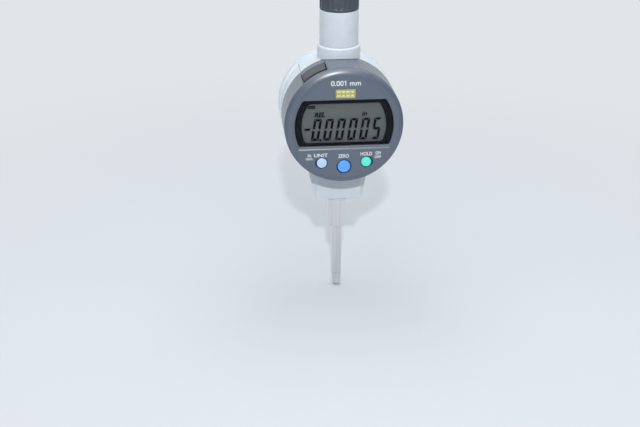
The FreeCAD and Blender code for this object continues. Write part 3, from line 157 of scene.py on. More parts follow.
# The photograph's camera, from the stem's axis at the height of the face's centre
CAMERA_PLACE = Vector((-72.077, -590.525, 204.486)) * MM
CAMERA_DOWN = math.radians(23.85)
CAMERA_TURN = math.radians(6.096)
CAMERA_ROLL = math.radians(0.301)
CAMERA_LENS = 68.96


# Materials

def srgb(red, green, blue):
    """A colour as a picture shows it, 0 to 255, as the linear colour that a shader takes."""
    def linear(value):
        value = value / 255
        return value / 12.92 if value <= 0.04045 else ((value + 0.055) / 1.055) ** 2.4
    return (linear(red), linear(green), linear(blue), 1.0)


BACKDROP = srgb(224, 229, 233)
COAT_ROUGHNESS = 0.24


def shade(colour, factor):
    return tuple(min(1.0, channel * factor) for channel in colour[:3]) + (1.0,)


def new_material(name):
    material = bpy.data.materials.new(name)
    material.use_nodes = True
    nodes = material.node_tree.nodes
    return material, nodes, material.node_tree.links, nodes["Principled BSDF"]


def noise(nodes, links, size, detail, stretch=(1, 1, 1)):
    """Noise in the object's own space whose blotches are about size across."""
    place = nodes.new("ShaderNodeTexCoord")
    scale = nodes.new("ShaderNodeMapping")
    scale.inputs["Scale"].default_value = [factor / size for factor in stretch]
    texture = nodes.new("ShaderNodeTexNoise")
    texture.inputs["Scale"].default_value = 1.0
    texture.inputs["Detail"].default_value = detail
    links.new(place.outputs["Object"], scale.inputs["Vector"])
    links.new(scale.outputs["Vector"], texture.inputs["Vector"])
    return texture.outputs["Fac"]


def map_range(nodes, links, value, low, high, start=0.3, end=0.7, smooth=False):
    """The value from start to end, spread between low and high; noise lies in 0.3 to 0.7."""
    node = nodes.new("ShaderNodeMapRange")
    if smooth:
        node.interpolation_type = "SMOOTHSTEP"
    node.inputs["From Min"].default_value = start
    node.inputs["From Max"].default_value = end
    node.inputs["To Min"].default_value = low
    node.inputs["To Max"].default_value = high
    links.new(value, node.inputs["Value"])
    return node.outputs["Result"]


def feed(links, value, socket):
    """Another node's output is linked to the socket, and a constant is set on it."""
    if isinstance(value, bpy.types.NodeSocket):
        links.new(value, socket)
    else:
        socket.default_value = value


def blend(nodes, links, factor, first, second, kind="RGBA"):
    """Two colours, or two numbers with kind FLOAT, mixed by a factor."""
    node = nodes.new("ShaderNodeMix")
    node.data_type = kind
    feed(links, first, node.inputs["A"])
    feed(links, second, node.inputs["B"])
    links.new(factor, node.inputs["Factor"])
    return node.outputs["Result"]


def blend_shaders(nodes, links, factor, first, second):
    node = nodes.new("ShaderNodeMixShader")
    links.new(factor, node.inputs["Fac"])
    links.new(first, node.inputs[1])
    links.new(second, node.inputs[2])
    return node.outputs["Shader"]


def product(nodes, links, first, second):
    node = nodes.new("ShaderNodeMath")
    node.operation = "MULTIPLY"
    links.new(first, node.inputs[0])
    feed(links, second, node.inputs[1])
    return node.outputs["Value"]


def edge_mask(nodes, links, rounded):
    """Bright where the rounded normal leaves the true one, which is along edges."""
    geometry = nodes.new("ShaderNodeNewGeometry")
    likeness = nodes.new("ShaderNodeVectorMath")
    likeness.operation = "DOT_PRODUCT"
    links.new(rounded, likeness.inputs[0])
    links.new(geometry.outputs["Normal"], likeness.inputs[1])
    return map_range(nodes, links, likeness.outputs["Value"], 0.0, 1.0, 0.98, 0.80)


def surface(name, colour, roughness, metallic=0.0, mottle=0.05, mottle_size=5.0, grain=0.004,
            grain_size=0.25, rounding=0.15, wear=0.15, stretch=(1, 1, 1), specular=0.5, coat=0.0,
            streak=(1, 1, 1)):
    """A solid finish: colour that varies softly, fine grain, rounded edges with some wear.

    mottle_size, grain_size, grain and rounding are in millimetres. stretch and streak draw
    the grain and the blotches out along an axis.
    """
    material, nodes, links, shader = new_material(name)
    rounded = nodes.new("ShaderNodeBevel")
    rounded.samples = 6
    rounded.inputs["Radius"].default_value = rounding * MM
    blotches = noise(nodes, links, mottle_size * MM, 3.0, streak)
    body = blend(nodes, links, map_range(nodes, links, blotches, 0.0, 1.0),
                 shade(colour, 1 - mottle), shade(colour, 1 + mottle))
    edges = edge_mask(nodes, links, rounded.outputs["Normal"])
    worn = blend(nodes, links, product(nodes, links, edges, wear * 2), body,
                 shade(colour, 1 + 3 * wear))
    links.new(worn, shader.inputs["Base Color"])
    fine = noise(nodes, links, grain_size * MM, 2.0, stretch)
    links.new(map_range(nodes, links, fine, roughness * 0.88, min(1.0, roughness * 1.12)),
              shader.inputs["Roughness"])
    bump = nodes.new("ShaderNodeBump")
    bump.inputs["Distance"].default_value = grain * MM
    links.new(fine, bump.inputs["Height"])
    links.new(rounded.outputs["Normal"], bump.inputs["Normal"])
    links.new(bump.outputs["Normal"], shader.inputs["Normal"])
    shader.inputs["Metallic"].default_value = metallic
    shader.inputs["Specular IOR Level"].default_value = specular
    shader.inputs["Coat Weight"].default_value = coat
    shader.inputs["Coat Roughness"].default_value = COAT_ROUGHNESS
    return material


def clear_window():
    """Clear acrylic: a faint dark tint and the gloss of its face."""
    material, nodes, links, shader = new_material("clear_window")
    haze = noise(nodes, links, 9.0 * MM, 2.0)
    tint = blend(nodes, links, haze, srgb(14, 18, 20), srgb(22, 27, 30))
    links.new(tint, shader.inputs["Base Color"])
    links.new(map_range(nodes, links, haze, 0.05, 0.09), shader.inputs["Roughness"])
    shader.inputs["Alpha"].default_value = 0.12
    shader.inputs["Specular IOR Level"].default_value = 0.35
    return material


def lcd_reflector():
    """The speckled grey-green ground of the display, a little darker towards its upper edge,
    which is painted shade from the window's frame.
    """
    material, nodes, links, shader = new_material("lcd_reflector")
    place = nodes.new("ShaderNodeTexCoord")
    height = nodes.new("ShaderNodeSeparateXYZ")
    links.new(place.outputs["Object"], height.inputs["Vector"])
    # Painted shade: the ground's colour darkens towards the top, where the window's frame shades
    # it.
    rise = map_range(nodes, links, height.outputs["Z"], 0.0, 1.0, face_height + view_bottom,
                     face_height + view_top)
    ground = blend(nodes, links, rise, srgb(112, 120, 120), srgb(104, 113, 110))
    speckle = noise(nodes, links, 0.12 * MM, 1.0)
    speckled = blend(nodes, links, map_range(nodes, links, speckle, 0.0, 0.25), ground,
                     srgb(126, 134, 132))
    links.new(speckled, shader.inputs["Base Color"])
    links.new(map_range(nodes, links, speckle, 0.42, 0.58), shader.inputs["Roughness"])
    return material


# Finishes by the names of the record's material slots, then those of the scene's own
FINISHES = {
    "housing_paint": dict(colour=srgb(204, 213, 221), roughness=0.38, mottle=0.025, grain=0.010,
                          grain_size=0.22, rounding=0.25, wear=0.06),
    # The neck's copy of the housing paint: its more neutral tone is painted highlight of the
    # light on the neck.
    "neck_paint_lit_tone": dict(colour=srgb(200, 207, 215), roughness=0.27, mottle=0.025, grain=0.022,
                       grain_size=0.30, rounding=0.25, wear=0.06),
    "lid_plastic": dict(colour=srgb(97, 105, 115), roughness=0.34, mottle=0.04, grain=0.005,
                        grain_size=0.12, rounding=0.18, wear=0.12),
    "shell_plastic": dict(colour=srgb(98, 106, 117), roughness=0.27, mottle=0.03, grain=0.004,
                          grain_size=0.12, rounding=0.18, wear=0.10),
    "head_plastic": dict(colour=srgb(76, 87, 104), roughness=0.34, mottle=0.03, grain=0.005,
                         grain_size=0.12, rounding=0.18, wear=0.10, specular=1.0, coat=0.12),
    "dark_plastic": dict(colour=srgb(64, 71, 81), roughness=0.44, mottle=0.05, grain=0.006,
                         grain_size=0.14, rounding=0.12, wear=0.12),
    "black_rubber": dict(colour=srgb(38, 40, 43), roughness=0.75, mottle=0.10, grain=0.010,
                         grain_size=0.20),
    "cover_rubber": dict(colour=srgb(82, 86, 92), roughness=0.66, mottle=0.06, grain=0.010,
                         grain_size=0.20, rounding=0.25, specular=0.25),
    "lcd_glass": dict(colour=srgb(112, 122, 120), roughness=0.30, mottle=0.03, grain=0.0),
    "circuit_board": dict(colour=srgb(38, 96, 62), roughness=0.45, mottle=0.12, mottle_size=1.2,
                          grain=0.006),
    "pale_blue_key": dict(colour=srgb(176, 206, 250), roughness=0.42, mottle=0.02, rounding=0.2,
                          wear=0.05),
    "blue_key": dict(colour=srgb(88, 160, 246), roughness=0.42, mottle=0.02, rounding=0.2,
                     wear=0.05),
    "green_key": dict(colour=srgb(92, 226, 210), roughness=0.42, mottle=0.02, rounding=0.2,
                      wear=0.05),
    # The steel's blotches are drawn out along the spindle into light and dark streaks, which are
    # painted reflection.
    "ground_steel": dict(colour=srgb(224, 223, 226), roughness=0.22, metallic=1.0, mottle=0.10,
                         mottle_size=1.5, grain=0.0012, grain_size=0.6, stretch=(1, 1, 9),
                         rounding=0.10, wear=0.03, streak=(1, 1, 0.03)),
    "steel_screw": dict(colour=srgb(150, 152, 156), roughness=0.32, metallic=1.0, mottle=0.10,
                        mottle_size=1.0, grain=0.004, grain_size=0.15),
    "spring_wire": dict(colour=srgb(165, 168, 172), roughness=0.30, metallic=1.0, mottle=0.08,
                        mottle_size=1.5, rounding=0.03),
    "brass_part": dict(colour=srgb(205, 178, 110), roughness=0.34, metallic=1.0, mottle=0.08,
                       mottle_size=2.0),
    "bearing_bronze": dict(colour=srgb(176, 138, 96), roughness=0.40, metallic=1.0, mottle=0.10,
                           mottle_size=2.0),
    "aluminium_part": dict(colour=srgb(190, 193, 197), roughness=0.38, metallic=1.0,
                           mottle=0.06, mottle_size=3.0),
    "scale_glass": dict(colour=srgb(170, 188, 182), roughness=0.20, mottle=0.05,
                        mottle_size=1.0, grain=0.001),
    "window_black": dict(colour=srgb(8, 11, 20), roughness=0.35, mottle=0.10, grain=0.001,
                         rounding=0.05, wear=0.0, specular=0.15),
    "lcd_ink": dict(colour=srgb(6, 8, 13), roughness=0.55, mottle=0.08, mottle_size=1.5,
                    grain=0.0, rounding=0.02, wear=0.0, specular=0.05),
    "white_print": dict(colour=srgb(226, 229, 234), roughness=0.55, mottle=0.03,
                        mottle_size=0.8, grain=0.002, rounding=0.02, wear=0.0),
    "yellow_print": dict(colour=srgb(216, 212, 132), roughness=0.50, mottle=0.05,
                         mottle_size=0.8, grain=0.002, rounding=0.02, wear=0.0),
    "olive_print": dict(colour=srgb(84, 86, 62), roughness=0.55, mottle=0.08, mottle_size=0.8,
                        grain=0.002, rounding=0.02, wear=0.0),
    # The skirts' dark blue is painted shade of the gaps round the keys.
    "key_well": dict(colour=srgb(30, 62, 120), roughness=0.55, mottle=0.05, grain=0.002),
}
MATERIALS = {name: surface(name, **finish) for name, finish in FINISHES.items()}
MATERIALS["clear_lens"] = clear_window()
MATERIALS["lcd_reflector"] = lcd_reflector()


# Making pieces

def finish_piece(name, mesh, body, material, replaced=(), sharp=32.0):
    """A mesh becomes a piece: smooth but for its sharp edges, on a body, with its finish."""
    mesh.name = name
    mesh.materials.clear()
    mesh.materials.append(MATERIALS[material])
    mesh.shade_smooth()
    mesh.set_sharp_from_angle(angle=math.radians(sharp))
    piece = bpy.data.objects.new(name, mesh)
    bpy.context.scene.collection.objects.link(piece)
    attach(piece, body)
    if replaced:
        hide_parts(*replaced)
    return piece


def mesh_from(bm):
    bmesh.ops.recalc_face_normals(bm, faces=bm.faces)
    mesh = bpy.data.meshes.new("mesh")
    bm.to_mesh(mesh)
    bm.free()
    return mesh


def arc(centre, radius, start, end, steps):
    """Points of an arc in the plane, angles in degrees from the first axis."""
    points = []
    for step in range(steps + 1):
        angle = math.radians(start + (end - start) * step / steps)
        points.append((centre[0] + radius * math.cos(angle),
                       centre[1] + radius * math.sin(angle)))
    return points


def eased(share):
    """A share from 0 to 1 with a soft start and end."""
    return share * share * (3 - 2 * share)


def lathe(profile, centre, steps):
    """A closed ring or body: (radius, distance along Y) turned once about a line along Y.

    A point on the axis closes the body there.
    """
    bm = bmesh.new()
    rings = []
    for radius, along in profile:
        turns = range(steps) if radius else range(1)
        rings.append([bm.verts.new(turned(centre, radius, 2 * math.pi * step / steps, along))
                      for step in turns])
    pairs = list(zip(rings, rings[1:]))
    if len(rings[0]) > 1 and len(rings[-1]) > 1:
        pairs.append((rings[-1], rings[0]))
    for first, second in pairs:
        join_rings(bm, first, second, steps)
    return mesh_from(bm)


def turned(centre, radius, angle, along):
    """A point at a radius and angle, from the top, about a line along Y through the centre."""
    return centre + Vector((radius * math.sin(angle), along, radius * math.cos(angle)))


def join_rings(bm, first, second, steps):
    """Faces between two rings of points, either of which may be a single point."""
    for step in range(steps):
        after = (step + 1) % steps
        if len(first) == 1:
            bm.faces.new((first[0], second[step], second[after]))
        elif len(second) == 1:
            bm.faces.new((first[step], second[0], first[after]))
        else:
            bm.faces.new((first[step], second[step], second[after], first[after]))


def loft(*bodies):
    """Closed bodies in one mesh, each given by its sections of equally many points."""
    bm = bmesh.new()
    for sections in bodies:
        rings = [[bm.verts.new(point) for point in section] for section in sections]
        for first, second in zip(rings, rings[1:]):
            join_rings(bm, first, second, len(first))
        bm.faces.new(rings[0])
        bm.faces.new(list(reversed(rings[-1])))
    return mesh_from(bm)


def plate(outlines, front, back, bevel=0.0, bevel_steps=3):
    """A flat plate facing -Y with rounded edges: the first outline, less the others."""
    curve = bpy.data.curves.new("outline", "CURVE")
    curve.dimensions = "2D"
    curve.fill_mode = "BOTH"
    curve.extrude = (back - front) / 2 - bevel
    curve.bevel_depth = bevel
    curve.bevel_resolution = bevel_steps
    curve.offset = -bevel
    for outline in outlines:
        spline = curve.splines.new("POLY")
        spline.points.add(len(outline) - 1)
        for point, (x, z) in zip(spline.points, outline):
            point.co = (x, z, 0.0, 1.0)
        spline.use_cyclic_u = True
    holder = bpy.data.objects.new("outline", curve)
    mesh = bpy.data.meshes.new_from_object(holder)
    bpy.data.objects.remove(holder)
    bpy.data.curves.remove(curve)
    middle = Vector((0.0, (front + back) / 2, face_height))
    mesh.transform(Matrix.Translation(middle) @ Matrix.Rotation(math.radians(90), 4, "X"))
    bm = bmesh.new()
    bm.from_mesh(mesh)
    bmesh.ops.remove_doubles(bm, verts=bm.verts, dist=1e-7)
    return mesh_from(bm)


def circle(radius, x=0.0, z=0.0, steps=128):
    return arc((x, z), radius, 0, 360 - 360 / steps, steps - 1)


def clipped_circle(radius, top, bottom, corner):
    """A circle cut off by level chords, with its four corners rounded."""
    low = math.degrees(math.asin(bottom / radius))
    high = math.degrees(math.asin(top / radius))
    side = arc((0.0, 0.0), radius, low, high, 48)
    points = side + [(-x, z) for x, z in reversed(side)]
    corners = (0, len(side) - 1, len(side), len(points) - 1)
    rounded = []
    for index, point in enumerate(points):
        if index in corners:
            rounded += corner_curve(points, index, corner)
        elif min((Vector(point) - Vector(points[place])).length for place in corners) > corner:
            rounded.append(point)
    return rounded


def corner_curve(points, index, corner, steps=6):
    """The curve that takes the place of one corner of an outline."""
    point = Vector(points[index])
    before = Vector(points[index - 1]) - point
    after = Vector(points[(index + 1) % len(points)]) - point
    start = point + before.normalized() * corner
    end = point + after.normalized() * corner
    curve = []
    for step in range(steps + 1):
        share = step / steps
        curve.append(tuple(start.lerp(point, share).lerp(point.lerp(end, share), share)))
    return curve


def prism(polygons, front, back):
    """Flat polygons in the face's plane, each given a thickness."""
    return loft(*[[[(x, depth, face_height + z) for x, z in polygon] for depth in (front, back)]
                  for polygon in polygons])


# The display head

def make_rim():
    """The rounded rim: lip, seam groove, crown, and the slope down to the face."""
    edge = 0.18 * MM
    bore = SHELL_BORE - 0.1 * MM
    lip = SHELL_BORE - 0.05 * MM
    profile = [(bore, face_back), (bore, LIP_BACK - 0.1 * MM), (lip, LIP_BACK), (lip, seam_depth),
               (groove_radius, seam_depth), (groove_radius, seam_front),
               (head_radius - edge, seam_front), (head_radius, seam_front - edge)]
    crown_steps = 24
    for step in range(1, crown_steps + 1):
        angle = math.radians(90 * step / crown_steps)
        across = max(0.0, math.cos(angle)) ** CROWN_FULLNESS
        forward = math.sin(angle) ** CROWN_FULLNESS
        profile.append((crest_radius + (head_radius - crest_radius) * across,
                        seam_front - edge + (crest_depth - seam_front + edge) * forward))
    slope_steps = 12
    for step in range(1, slope_steps + 1):
        share = step / slope_steps
        drop = face_depth - crest_depth + 0.01 * MM
        profile.append((crest_radius - (crest_radius - landing_radius) * share,
                        crest_depth + drop * eased(share)))
    profile += [(landing_radius, face_depth + 0.3 * MM), (face_radius + 0.05 * MM, face_back)]
    finish_piece("bezel_rim", lathe(profile, head_centre, 224), "display_head", "head_plastic",
                 ("front_bezel",))


def make_seal_and_seam_shade():
    """The dark ring in the groove between bezel and rear shell: a rubber seal whose black is also
    painted shade of the groove.
    """
    gap = 0.02 * MM
    outer, inner = head_radius - SEAL_SINK, groove_radius - SEAL_SINK
    ring = [(inner, seam_depth - gap), (outer, seam_depth - gap),
            (outer + 0.08 * MM, seam_depth - SEAM_WIDTH / 2), (outer, seam_front + gap),
            (inner, seam_front + gap)]
    finish_piece("seam_seal", lathe(ring, head_centre, 224), "display_head", "black_rubber")


def make_face():
    """The face with its window, and the raised key panel with its slope."""
    window = clipped_circle(window_radius, window_top, window_bottom, 0.8 * MM)
    holes = [circle(radius + KEY_GAP, x + shift, z, 64) for _, x, z, radius, shift in KEYS]
    face = plate([circle(face_radius + 0.12 * MM, steps=200), window] + holes,
                 face_depth, face_back, 0.28 * MM)
    panel = plate([segment(panel_radius, panel_top)] + holes,
                  panel_depth, face_depth + 0.5 * MM, 0.12 * MM)
    for name, mesh in (("bezel_face", face), ("key_panel", panel), ("panel_slope", slope_mesh())):
        finish_piece(name, mesh, "display_head", "head_plastic")


def segment(radius, top):
    """The part of a circle below a level chord."""
    reach = math.degrees(math.asin(-top / radius))
    return arc((0.0, 0.0), radius, -180 + reach, -reach, 96)


def slope_mesh():
    """The soft step from the face up to the key panel."""
    steps = 10
    section = []
    for step in range(steps + 1):
        share = step / steps
        section.append((slope_top + (slope_foot - slope_top) * share,
                        face_depth + (panel_depth - face_depth) * eased(share)))
    section += [(slope_foot, face_depth + 0.4 * MM), (slope_top, face_depth + 0.4 * MM)]
    return loft([[(side * math.sqrt(panel_radius ** 2 - height ** 2), depth, face_height + height)
                  for height, depth in section] for side in (-1, 1)])


def window_outline(inset, corner):
    """The window's outline, drawn in by an inset."""
    return clipped_circle(window_radius - inset, window_top - inset, window_bottom + inset,
                          corner)


def make_window():
    """The clear window and the black print behind it."""
    lens = plate([window_outline(0.06 * MM, 0.75 * MM)],
                 window_front, window_front + LENS_THICKNESS, 0.12 * MM)
    finish_piece("window_lens", lens, "display_head", "clear_lens",
                 ("display_window",))
    border = plate([window_outline(0.02 * MM, 0.7 * MM),
                    clipped_circle(view_radius, view_top, view_bottom, 0.9 * MM)],
                   window_front + BORDER_FRONT, window_front + BORDER_BACK, 0.04 * MM, 1)
    finish_piece("window_border", border, "display_head", "window_black")


def make_display():
    """The ground of the liquid crystal display, its digits and its small signs."""
    half = (lcd_high.x - lcd_low.x) / 2
    top, bottom = lcd_high.z - face_height, lcd_low.z - face_height
    outline = [(-half, bottom), (half, bottom), (half, top), (-half, top)]
    ground = plate([outline], reading_depth + 0.6 * MM, lcd_high.y, 0.05 * MM, 1)
    finish_piece("lcd_ground", ground, "display_head", "lcd_reflector",
                 ("lcd_panel",))
    signs_back = reading_depth + 0.03 * MM
    signs = prism(reading_polygons() + battery_polygons(), reading_depth, signs_back)
    finish_piece("lcd_reading", signs, "display_head", "lcd_ink")
    for name, words, x, z, size, bold in SIGNS:
        lettering(name, words, x, z, size, signs_back, "lcd_ink", bold, SIGN_LEAN)


# The reading, in millimetres on the face
DIGIT_HEIGHT = 11.2
DIGIT_WIDTH = 3.9
DIGIT_PITCH = 5.98
DIGIT_STROKE = 1.2
DIGIT_GAP = 0.22
DIGIT_LEAN = 0.155
DIGIT_FOOT = -7.7
FIRST_DIGIT = -16.45
SEGMENTS = {"0": "abcdef", "5": "afgcd"}
READING = "000005"
reading_depth = window_front + 1.5 * MM

# Small signs of the display: name, words, left end, foot, size of letters, boldness
SIGNS = [
    ("lcd_unit", "in", 8.7, 4.7, 3.6, 0.06),
    ("lcd_mode", "REL", -14.8, 4.6, 3.3, 0.10),
]
SIGN_LEAN = 0.25
LETTER_THICKNESS = 0.016 * MM


def segment_polygons():
    """The seven segments of one digit, mitred at their ends, before the lean."""
    width, height, stroke = DIGIT_WIDTH, DIGIT_HEIGHT, DIGIT_STROKE
    gap, middle, half = DIGIT_GAP, height / 2, stroke / 2
    top = [(gap, height), (width - gap, height), (width - gap - stroke, height - stroke),
           (gap + stroke, height - stroke)]
    upper_left = [(0, height - gap), (stroke, height - gap - stroke),
                  (stroke, middle + half + gap), (0, middle + gap)]
    centre = [(gap, middle), (gap + half, middle + half), (width - gap - half, middle + half),
              (width - gap, middle), (width - gap - half, middle - half),
              (gap + half, middle - half)]

    def mirrored(points):
        return [(width - x, z) for x, z in points]

    def flipped(points):
        return [(x, height - z) for x, z in points]

    return {"a": top, "d": flipped(top), "f": upper_left, "b": mirrored(upper_left),
            "e": flipped(upper_left), "c": flipped(mirrored(upper_left)), "g": centre}


def leaned(points, left):
    """Points of a sign, moved to its left foot and leaned like the digits."""
    return [((left + x + DIGIT_LEAN * z) * MM, (DIGIT_FOOT + z) * MM) for x, z in points]


def reading_polygons():
    """The digits, the minus sign before them and the decimal point after the first."""
    shapes = segment_polygons()
    polygons = []
    for index, character in enumerate(READING):
        left = FIRST_DIGIT + index * DIGIT_PITCH
        polygons += [leaned(shapes[name], left) for name in SEGMENTS[character]]
    length, middle, half = 2.8, DIGIT_HEIGHT / 2 + 0.3, 0.5
    minus = [(0, middle - half), (length, middle - half), (length, middle + half),
             (0, middle + half)]
    polygons.append(leaned(minus, FIRST_DIGIT - length - 1.2))
    size, foot = 1.05, -0.3
    point = [(0, foot), (size, foot), (size, foot + size), (0, foot + size)]
    polygons.append(leaned(point, FIRST_DIGIT + DIGIT_WIDTH + 0.35))
    return polygons


def bar(left, bottom, right, top):
    """An upright rectangle on the face, given in millimetres."""
    return [(left * MM, bottom * MM), (right * MM, bottom * MM), (right * MM, top * MM),
            (left * MM, top * MM)]


def battery_polygons():
    """The battery sign: three bars of charge, a frame and its pole."""
    left, bottom, right, top = -18.0, 8.95, -14.5, 10.5
    line, charge_gap, charge_width, charge_pitch = 0.36, 0.16, 0.5, 0.78
    polygons = []
    for index in range(3):
        end = right - line - 0.3 - charge_pitch * index
        polygons.append(bar(end - charge_width, bottom + line + charge_gap,
                            end, top - line - charge_gap))
    return polygons + [
        bar(left, bottom, right, bottom + line),
        bar(left, top - line, right, top),
        bar(left, bottom + line, left + line, top - line),
        bar(right - line, bottom + line, right, top - line),
        bar(right, bottom + 0.45, right + 0.35, top - 0.45),
    ]


def lettering(name, words, x, z, size, depth, material, bold, lean=0.0):
    """Flat letters on the face; x and z are the left foot of the words in millimetres."""
    font = bpy.data.curves.new(name, "FONT")
    font.body = words
    font.size = size * MM
    font.shear = lean
    font.extrude = LETTER_THICKNESS / 2
    font.offset = bold * MM
    holder = bpy.data.objects.new(name, font)
    mesh = bpy.data.meshes.new_from_object(holder)
    bpy.data.objects.remove(holder)
    place = Vector((x * MM, depth - 0.012 * MM, face_height + z * MM))
    mesh.transform(Matrix.Translation(place) @ Matrix.Rotation(math.radians(90), 4, "X"))
    return finish_piece(name, mesh, "display_head", material, sharp=20.0)


def centred(name, words, x, z, size, width, depth, bold):
    """White letters about x whose whole width is given, all but the depth in millimetres."""
    piece = lettering(name, words, 0.0, z, size, depth, "white_print", bold)
    across = [vertex.co.x for vertex in piece.data.vertices]
    left, right = min(across), max(across)
    scale = width * MM / (right - left)
    for vertex in piece.data.vertices:
        vertex.co.x = x * MM + (vertex.co.x - (left + right) / 2) * scale


def add_flag(name, place):
    """The short stroke at the top of the figure 1, which the plain letters leave out."""
    mesh = bpy.data.objects[name].data
    near = [vertex.co for vertex in mesh.vertices if abs(vertex.co.x - place) < 0.4 * MM]
    stem = min(point.x for point in near) + 0.02 * MM
    tip = stem - 0.52 * MM
    top = max(point.z for point in near) - face_height
    stroke = [(stem, top), (tip, top - 0.42 * MM), (tip, top - 0.76 * MM),
              (stem, top - 0.40 * MM)]
    flag = prism([stroke], face_depth - 0.02 * MM, face_depth - 0.004 * MM)
    finish_piece(name + "_flag", flag, "display_head", "white_print")


# Words on the key panel: name, words, middle across, foot, size of letters, width, boldness
PANEL_WORDS = [
    ("print_unit", "UNIT", -11.6, -15.5, 2.5, 6.7, 0.03),
    ("print_zero", "ZERO", -0.3, -16.2, 2.6, 5.4, 0.03),
    ("print_hold", "HOLD", 11.1, -15.4, 2.6, 5.8, 0.03),
    ("print_on", "ON", 17.0, -14.7, 1.9, 2.7, 0.02),
    ("print_off", "OFF", 16.9, -17.0, 1.9, 3.3, 0.02),
    ("print_inch", "in", -17.3, -15.0, 2.0, 1.5, 0.02),
    ("print_mm", "mm", -17.4, -17.0, 2.0, 3.2, 0.02),
]

# Where the figure 1 of the range stands across
FIGURE_ONE = 0.28 * MM


def make_prints():
    """The range above the window, and the words and short lines beside the keys."""
    centred("print_range", "0.001 mm", 0.5, 20.95, 3.6, 14.6, face_depth, 0.03)
    add_flag("print_range", FIGURE_ONE)
    for name, words, x, z, size, width, bold in PANEL_WORDS:
        centred(name, words, x, z, size, width, panel_depth, bold)
    rules = prism([bar(15.7, -15.02, 18.3, -14.86), bar(-18.4, -15.34, -16.2, -15.18)],
                  panel_depth - 0.015 * MM, panel_depth + 0.02 * MM)
    finish_piece("print_rules", rules, "display_head", "white_print")


def make_scale_plate():
    """A printed patch of evenly spaced ticks between two lines."""
    left, bottom, right, top = -4.35, 14.75, 5.15, 18.9
    line, band = 0.28, 0.55
    depth = face_depth - 0.01 * MM
    patches = [bar(left, bottom + band, right, top - band), bar(left, top - line, right, top),
               bar(left, bottom, right, bottom + line)]
    ground = prism(patches, depth, face_depth + 0.05 * MM)
    finish_piece("scale_ground", ground, "display_head", "yellow_print")
    ticks = []
    count, half, margin = 13, 0.17, 0.75
    pitch = (right - left) / count
    for index in range(count):
        middle = left + pitch * (index + 0.5)
        short = 0.15 if index % 3 == 0 else 0.75
        ticks.append(bar(middle - half, bottom + margin + short,
                         middle + half, top - margin - short))
    marks = prism(ticks, depth - 0.015 * MM, face_depth + 0.04 * MM)
    finish_piece("scale_ticks", marks, "display_head", "olive_print")


def make_keys():
    """The three keys with flat, softly rounded tops, each with a dark blue skirt below, whose
    colour is painted shade of the gap round the key.
    """
    finishes = ("pale_blue_key", "blue_key", "green_key")
    for (name, x, z, radius, _), finish in zip(KEYS, finishes):
        low, high = box_of(name)
        centre = Vector((x, 0.0, face_height + z))
        front, flat = low.y, radius - KEY_ROUND
        profile = [(0.0, front), (radius * 0.5, front + KEY_CROWN * 0.25),
                   (flat, front + KEY_CROWN)]
        for across, inward in arc((0, 0), KEY_ROUND, 90, 0, 8)[1:]:
            profile.append((flat + across, front + KEY_CROWN + KEY_ROUND - inward))
        profile += [(radius, high.y), (0.0, high.y)]
        finish_piece(name + "_key", lathe(profile, centre, 96), name, finish, (name,))
        inner, outer, flange = radius + SKIRT_GAP, radius + SKIRT_WALL, radius + SKIRT_FLANGE
        step = face_back + 0.06 * MM
        skirt = [(inner, face_depth + 1.0 * MM), (outer, face_depth + 1.05 * MM), (outer, step),
                 (flange, step), (flange, high.y), (inner, high.y)]
        # The skirt's dark blue is painted shade in the gap round the key.
        finish_piece(name + "_skirt", lathe(skirt, centre, 96), name, "key_well")


def swept(section, middle, span, steps=40):
    """The sections of a (radius, depth) outline swept about the head's axis, from the top."""
    sections = []
    for step in range(steps + 1):
        angle = math.radians(middle - span / 2 + span * step / steps)
        sections.append([turned(head_centre, radius, angle, depth) for radius, depth in section])
    return sections


def make_connector_cover():
    """The rubber cover, its foot with the flange inside and its flap, and the strip of the shell
    behind it. The foot's black, seen in the nail slot and on its ridge, is painted shade of the
    recess's front.
    """
    low, high = box_of("connector_cover")
    front, back = low.y, high.y - 0.02 * MM
    rise = head_radius - COVER_GAP
    drop = head_radius - COVER_SINK
    foot = SHELL_BORE - COVER_GAP
    lip = LIP_BACK + 0.14 * MM
    slot = front + NAIL_SLOT
    crest = drop + RIDGE_HEIGHT
    ridge = crest - 0.02 * MM
    end = back - COVER_BRIDGE
    body = [(foot, lip), (SHELL_BORE, lip), (SHELL_BORE, front), (drop - 0.1 * MM, front),
            (drop, front + 0.15 * MM), (drop, slot - 0.5 * MM), (ridge, slot - 0.4 * MM),
            (ridge, slot - 0.02 * MM), (drop, slot - 0.01 * MM), (drop, back - 0.15 * MM),
            (drop - 0.1 * MM, back), (foot, back)]
    flange = [(foot - 0.5 * MM, lip), (foot, lip), (foot, back), (foot - 0.5 * MM, back)]
    base = loft(swept(body, COVER_TURN, COVER_SPAN - 0.1),
                swept(flange, COVER_TURN, COVER_SPAN + 4.0))
    # Painted shade: the foot is black, unlike the grey flap, so the nail slot and the ridge show
    # dark.
    finish_piece("connector_foot", base, "display_head", "black_rubber",
                 ("connector_cover",))
    start = slot + 0.15 * MM
    flap = [(drop - 0.1 * MM, slot), (crest - 0.15 * MM, slot), (crest, start)]
    slope_steps = 8
    for step in range(1, slope_steps + 1):
        share = step / slope_steps
        flap.append((crest + (rise - crest) * share * (2 - share),
                     start + (end - slot - 0.55 * MM) * share))
    flap += [(rise - 0.25 * MM, end), (drop - 0.1 * MM, end)]
    mesh = loft(swept(flap, COVER_TURN - FLAP_SHIFT / 2, COVER_SPAN - 0.5 - FLAP_SHIFT))
    finish_piece("connector_flap", mesh, "display_head", "cover_rubber")
    outside, inside = head_radius - 0.02 * MM, drop + 0.02 * MM
    strip = end + 0.04 * MM
    bridge = [(inside, strip), (outside - 0.12 * MM, strip), (outside, strip + 0.12 * MM),
              (outside, back), (inside, back)]
    finish_piece("cover_bridge", loft(swept(bridge, COVER_TURN, COVER_SPAN + 0.3)),
                 "display_head", "shell_plastic")


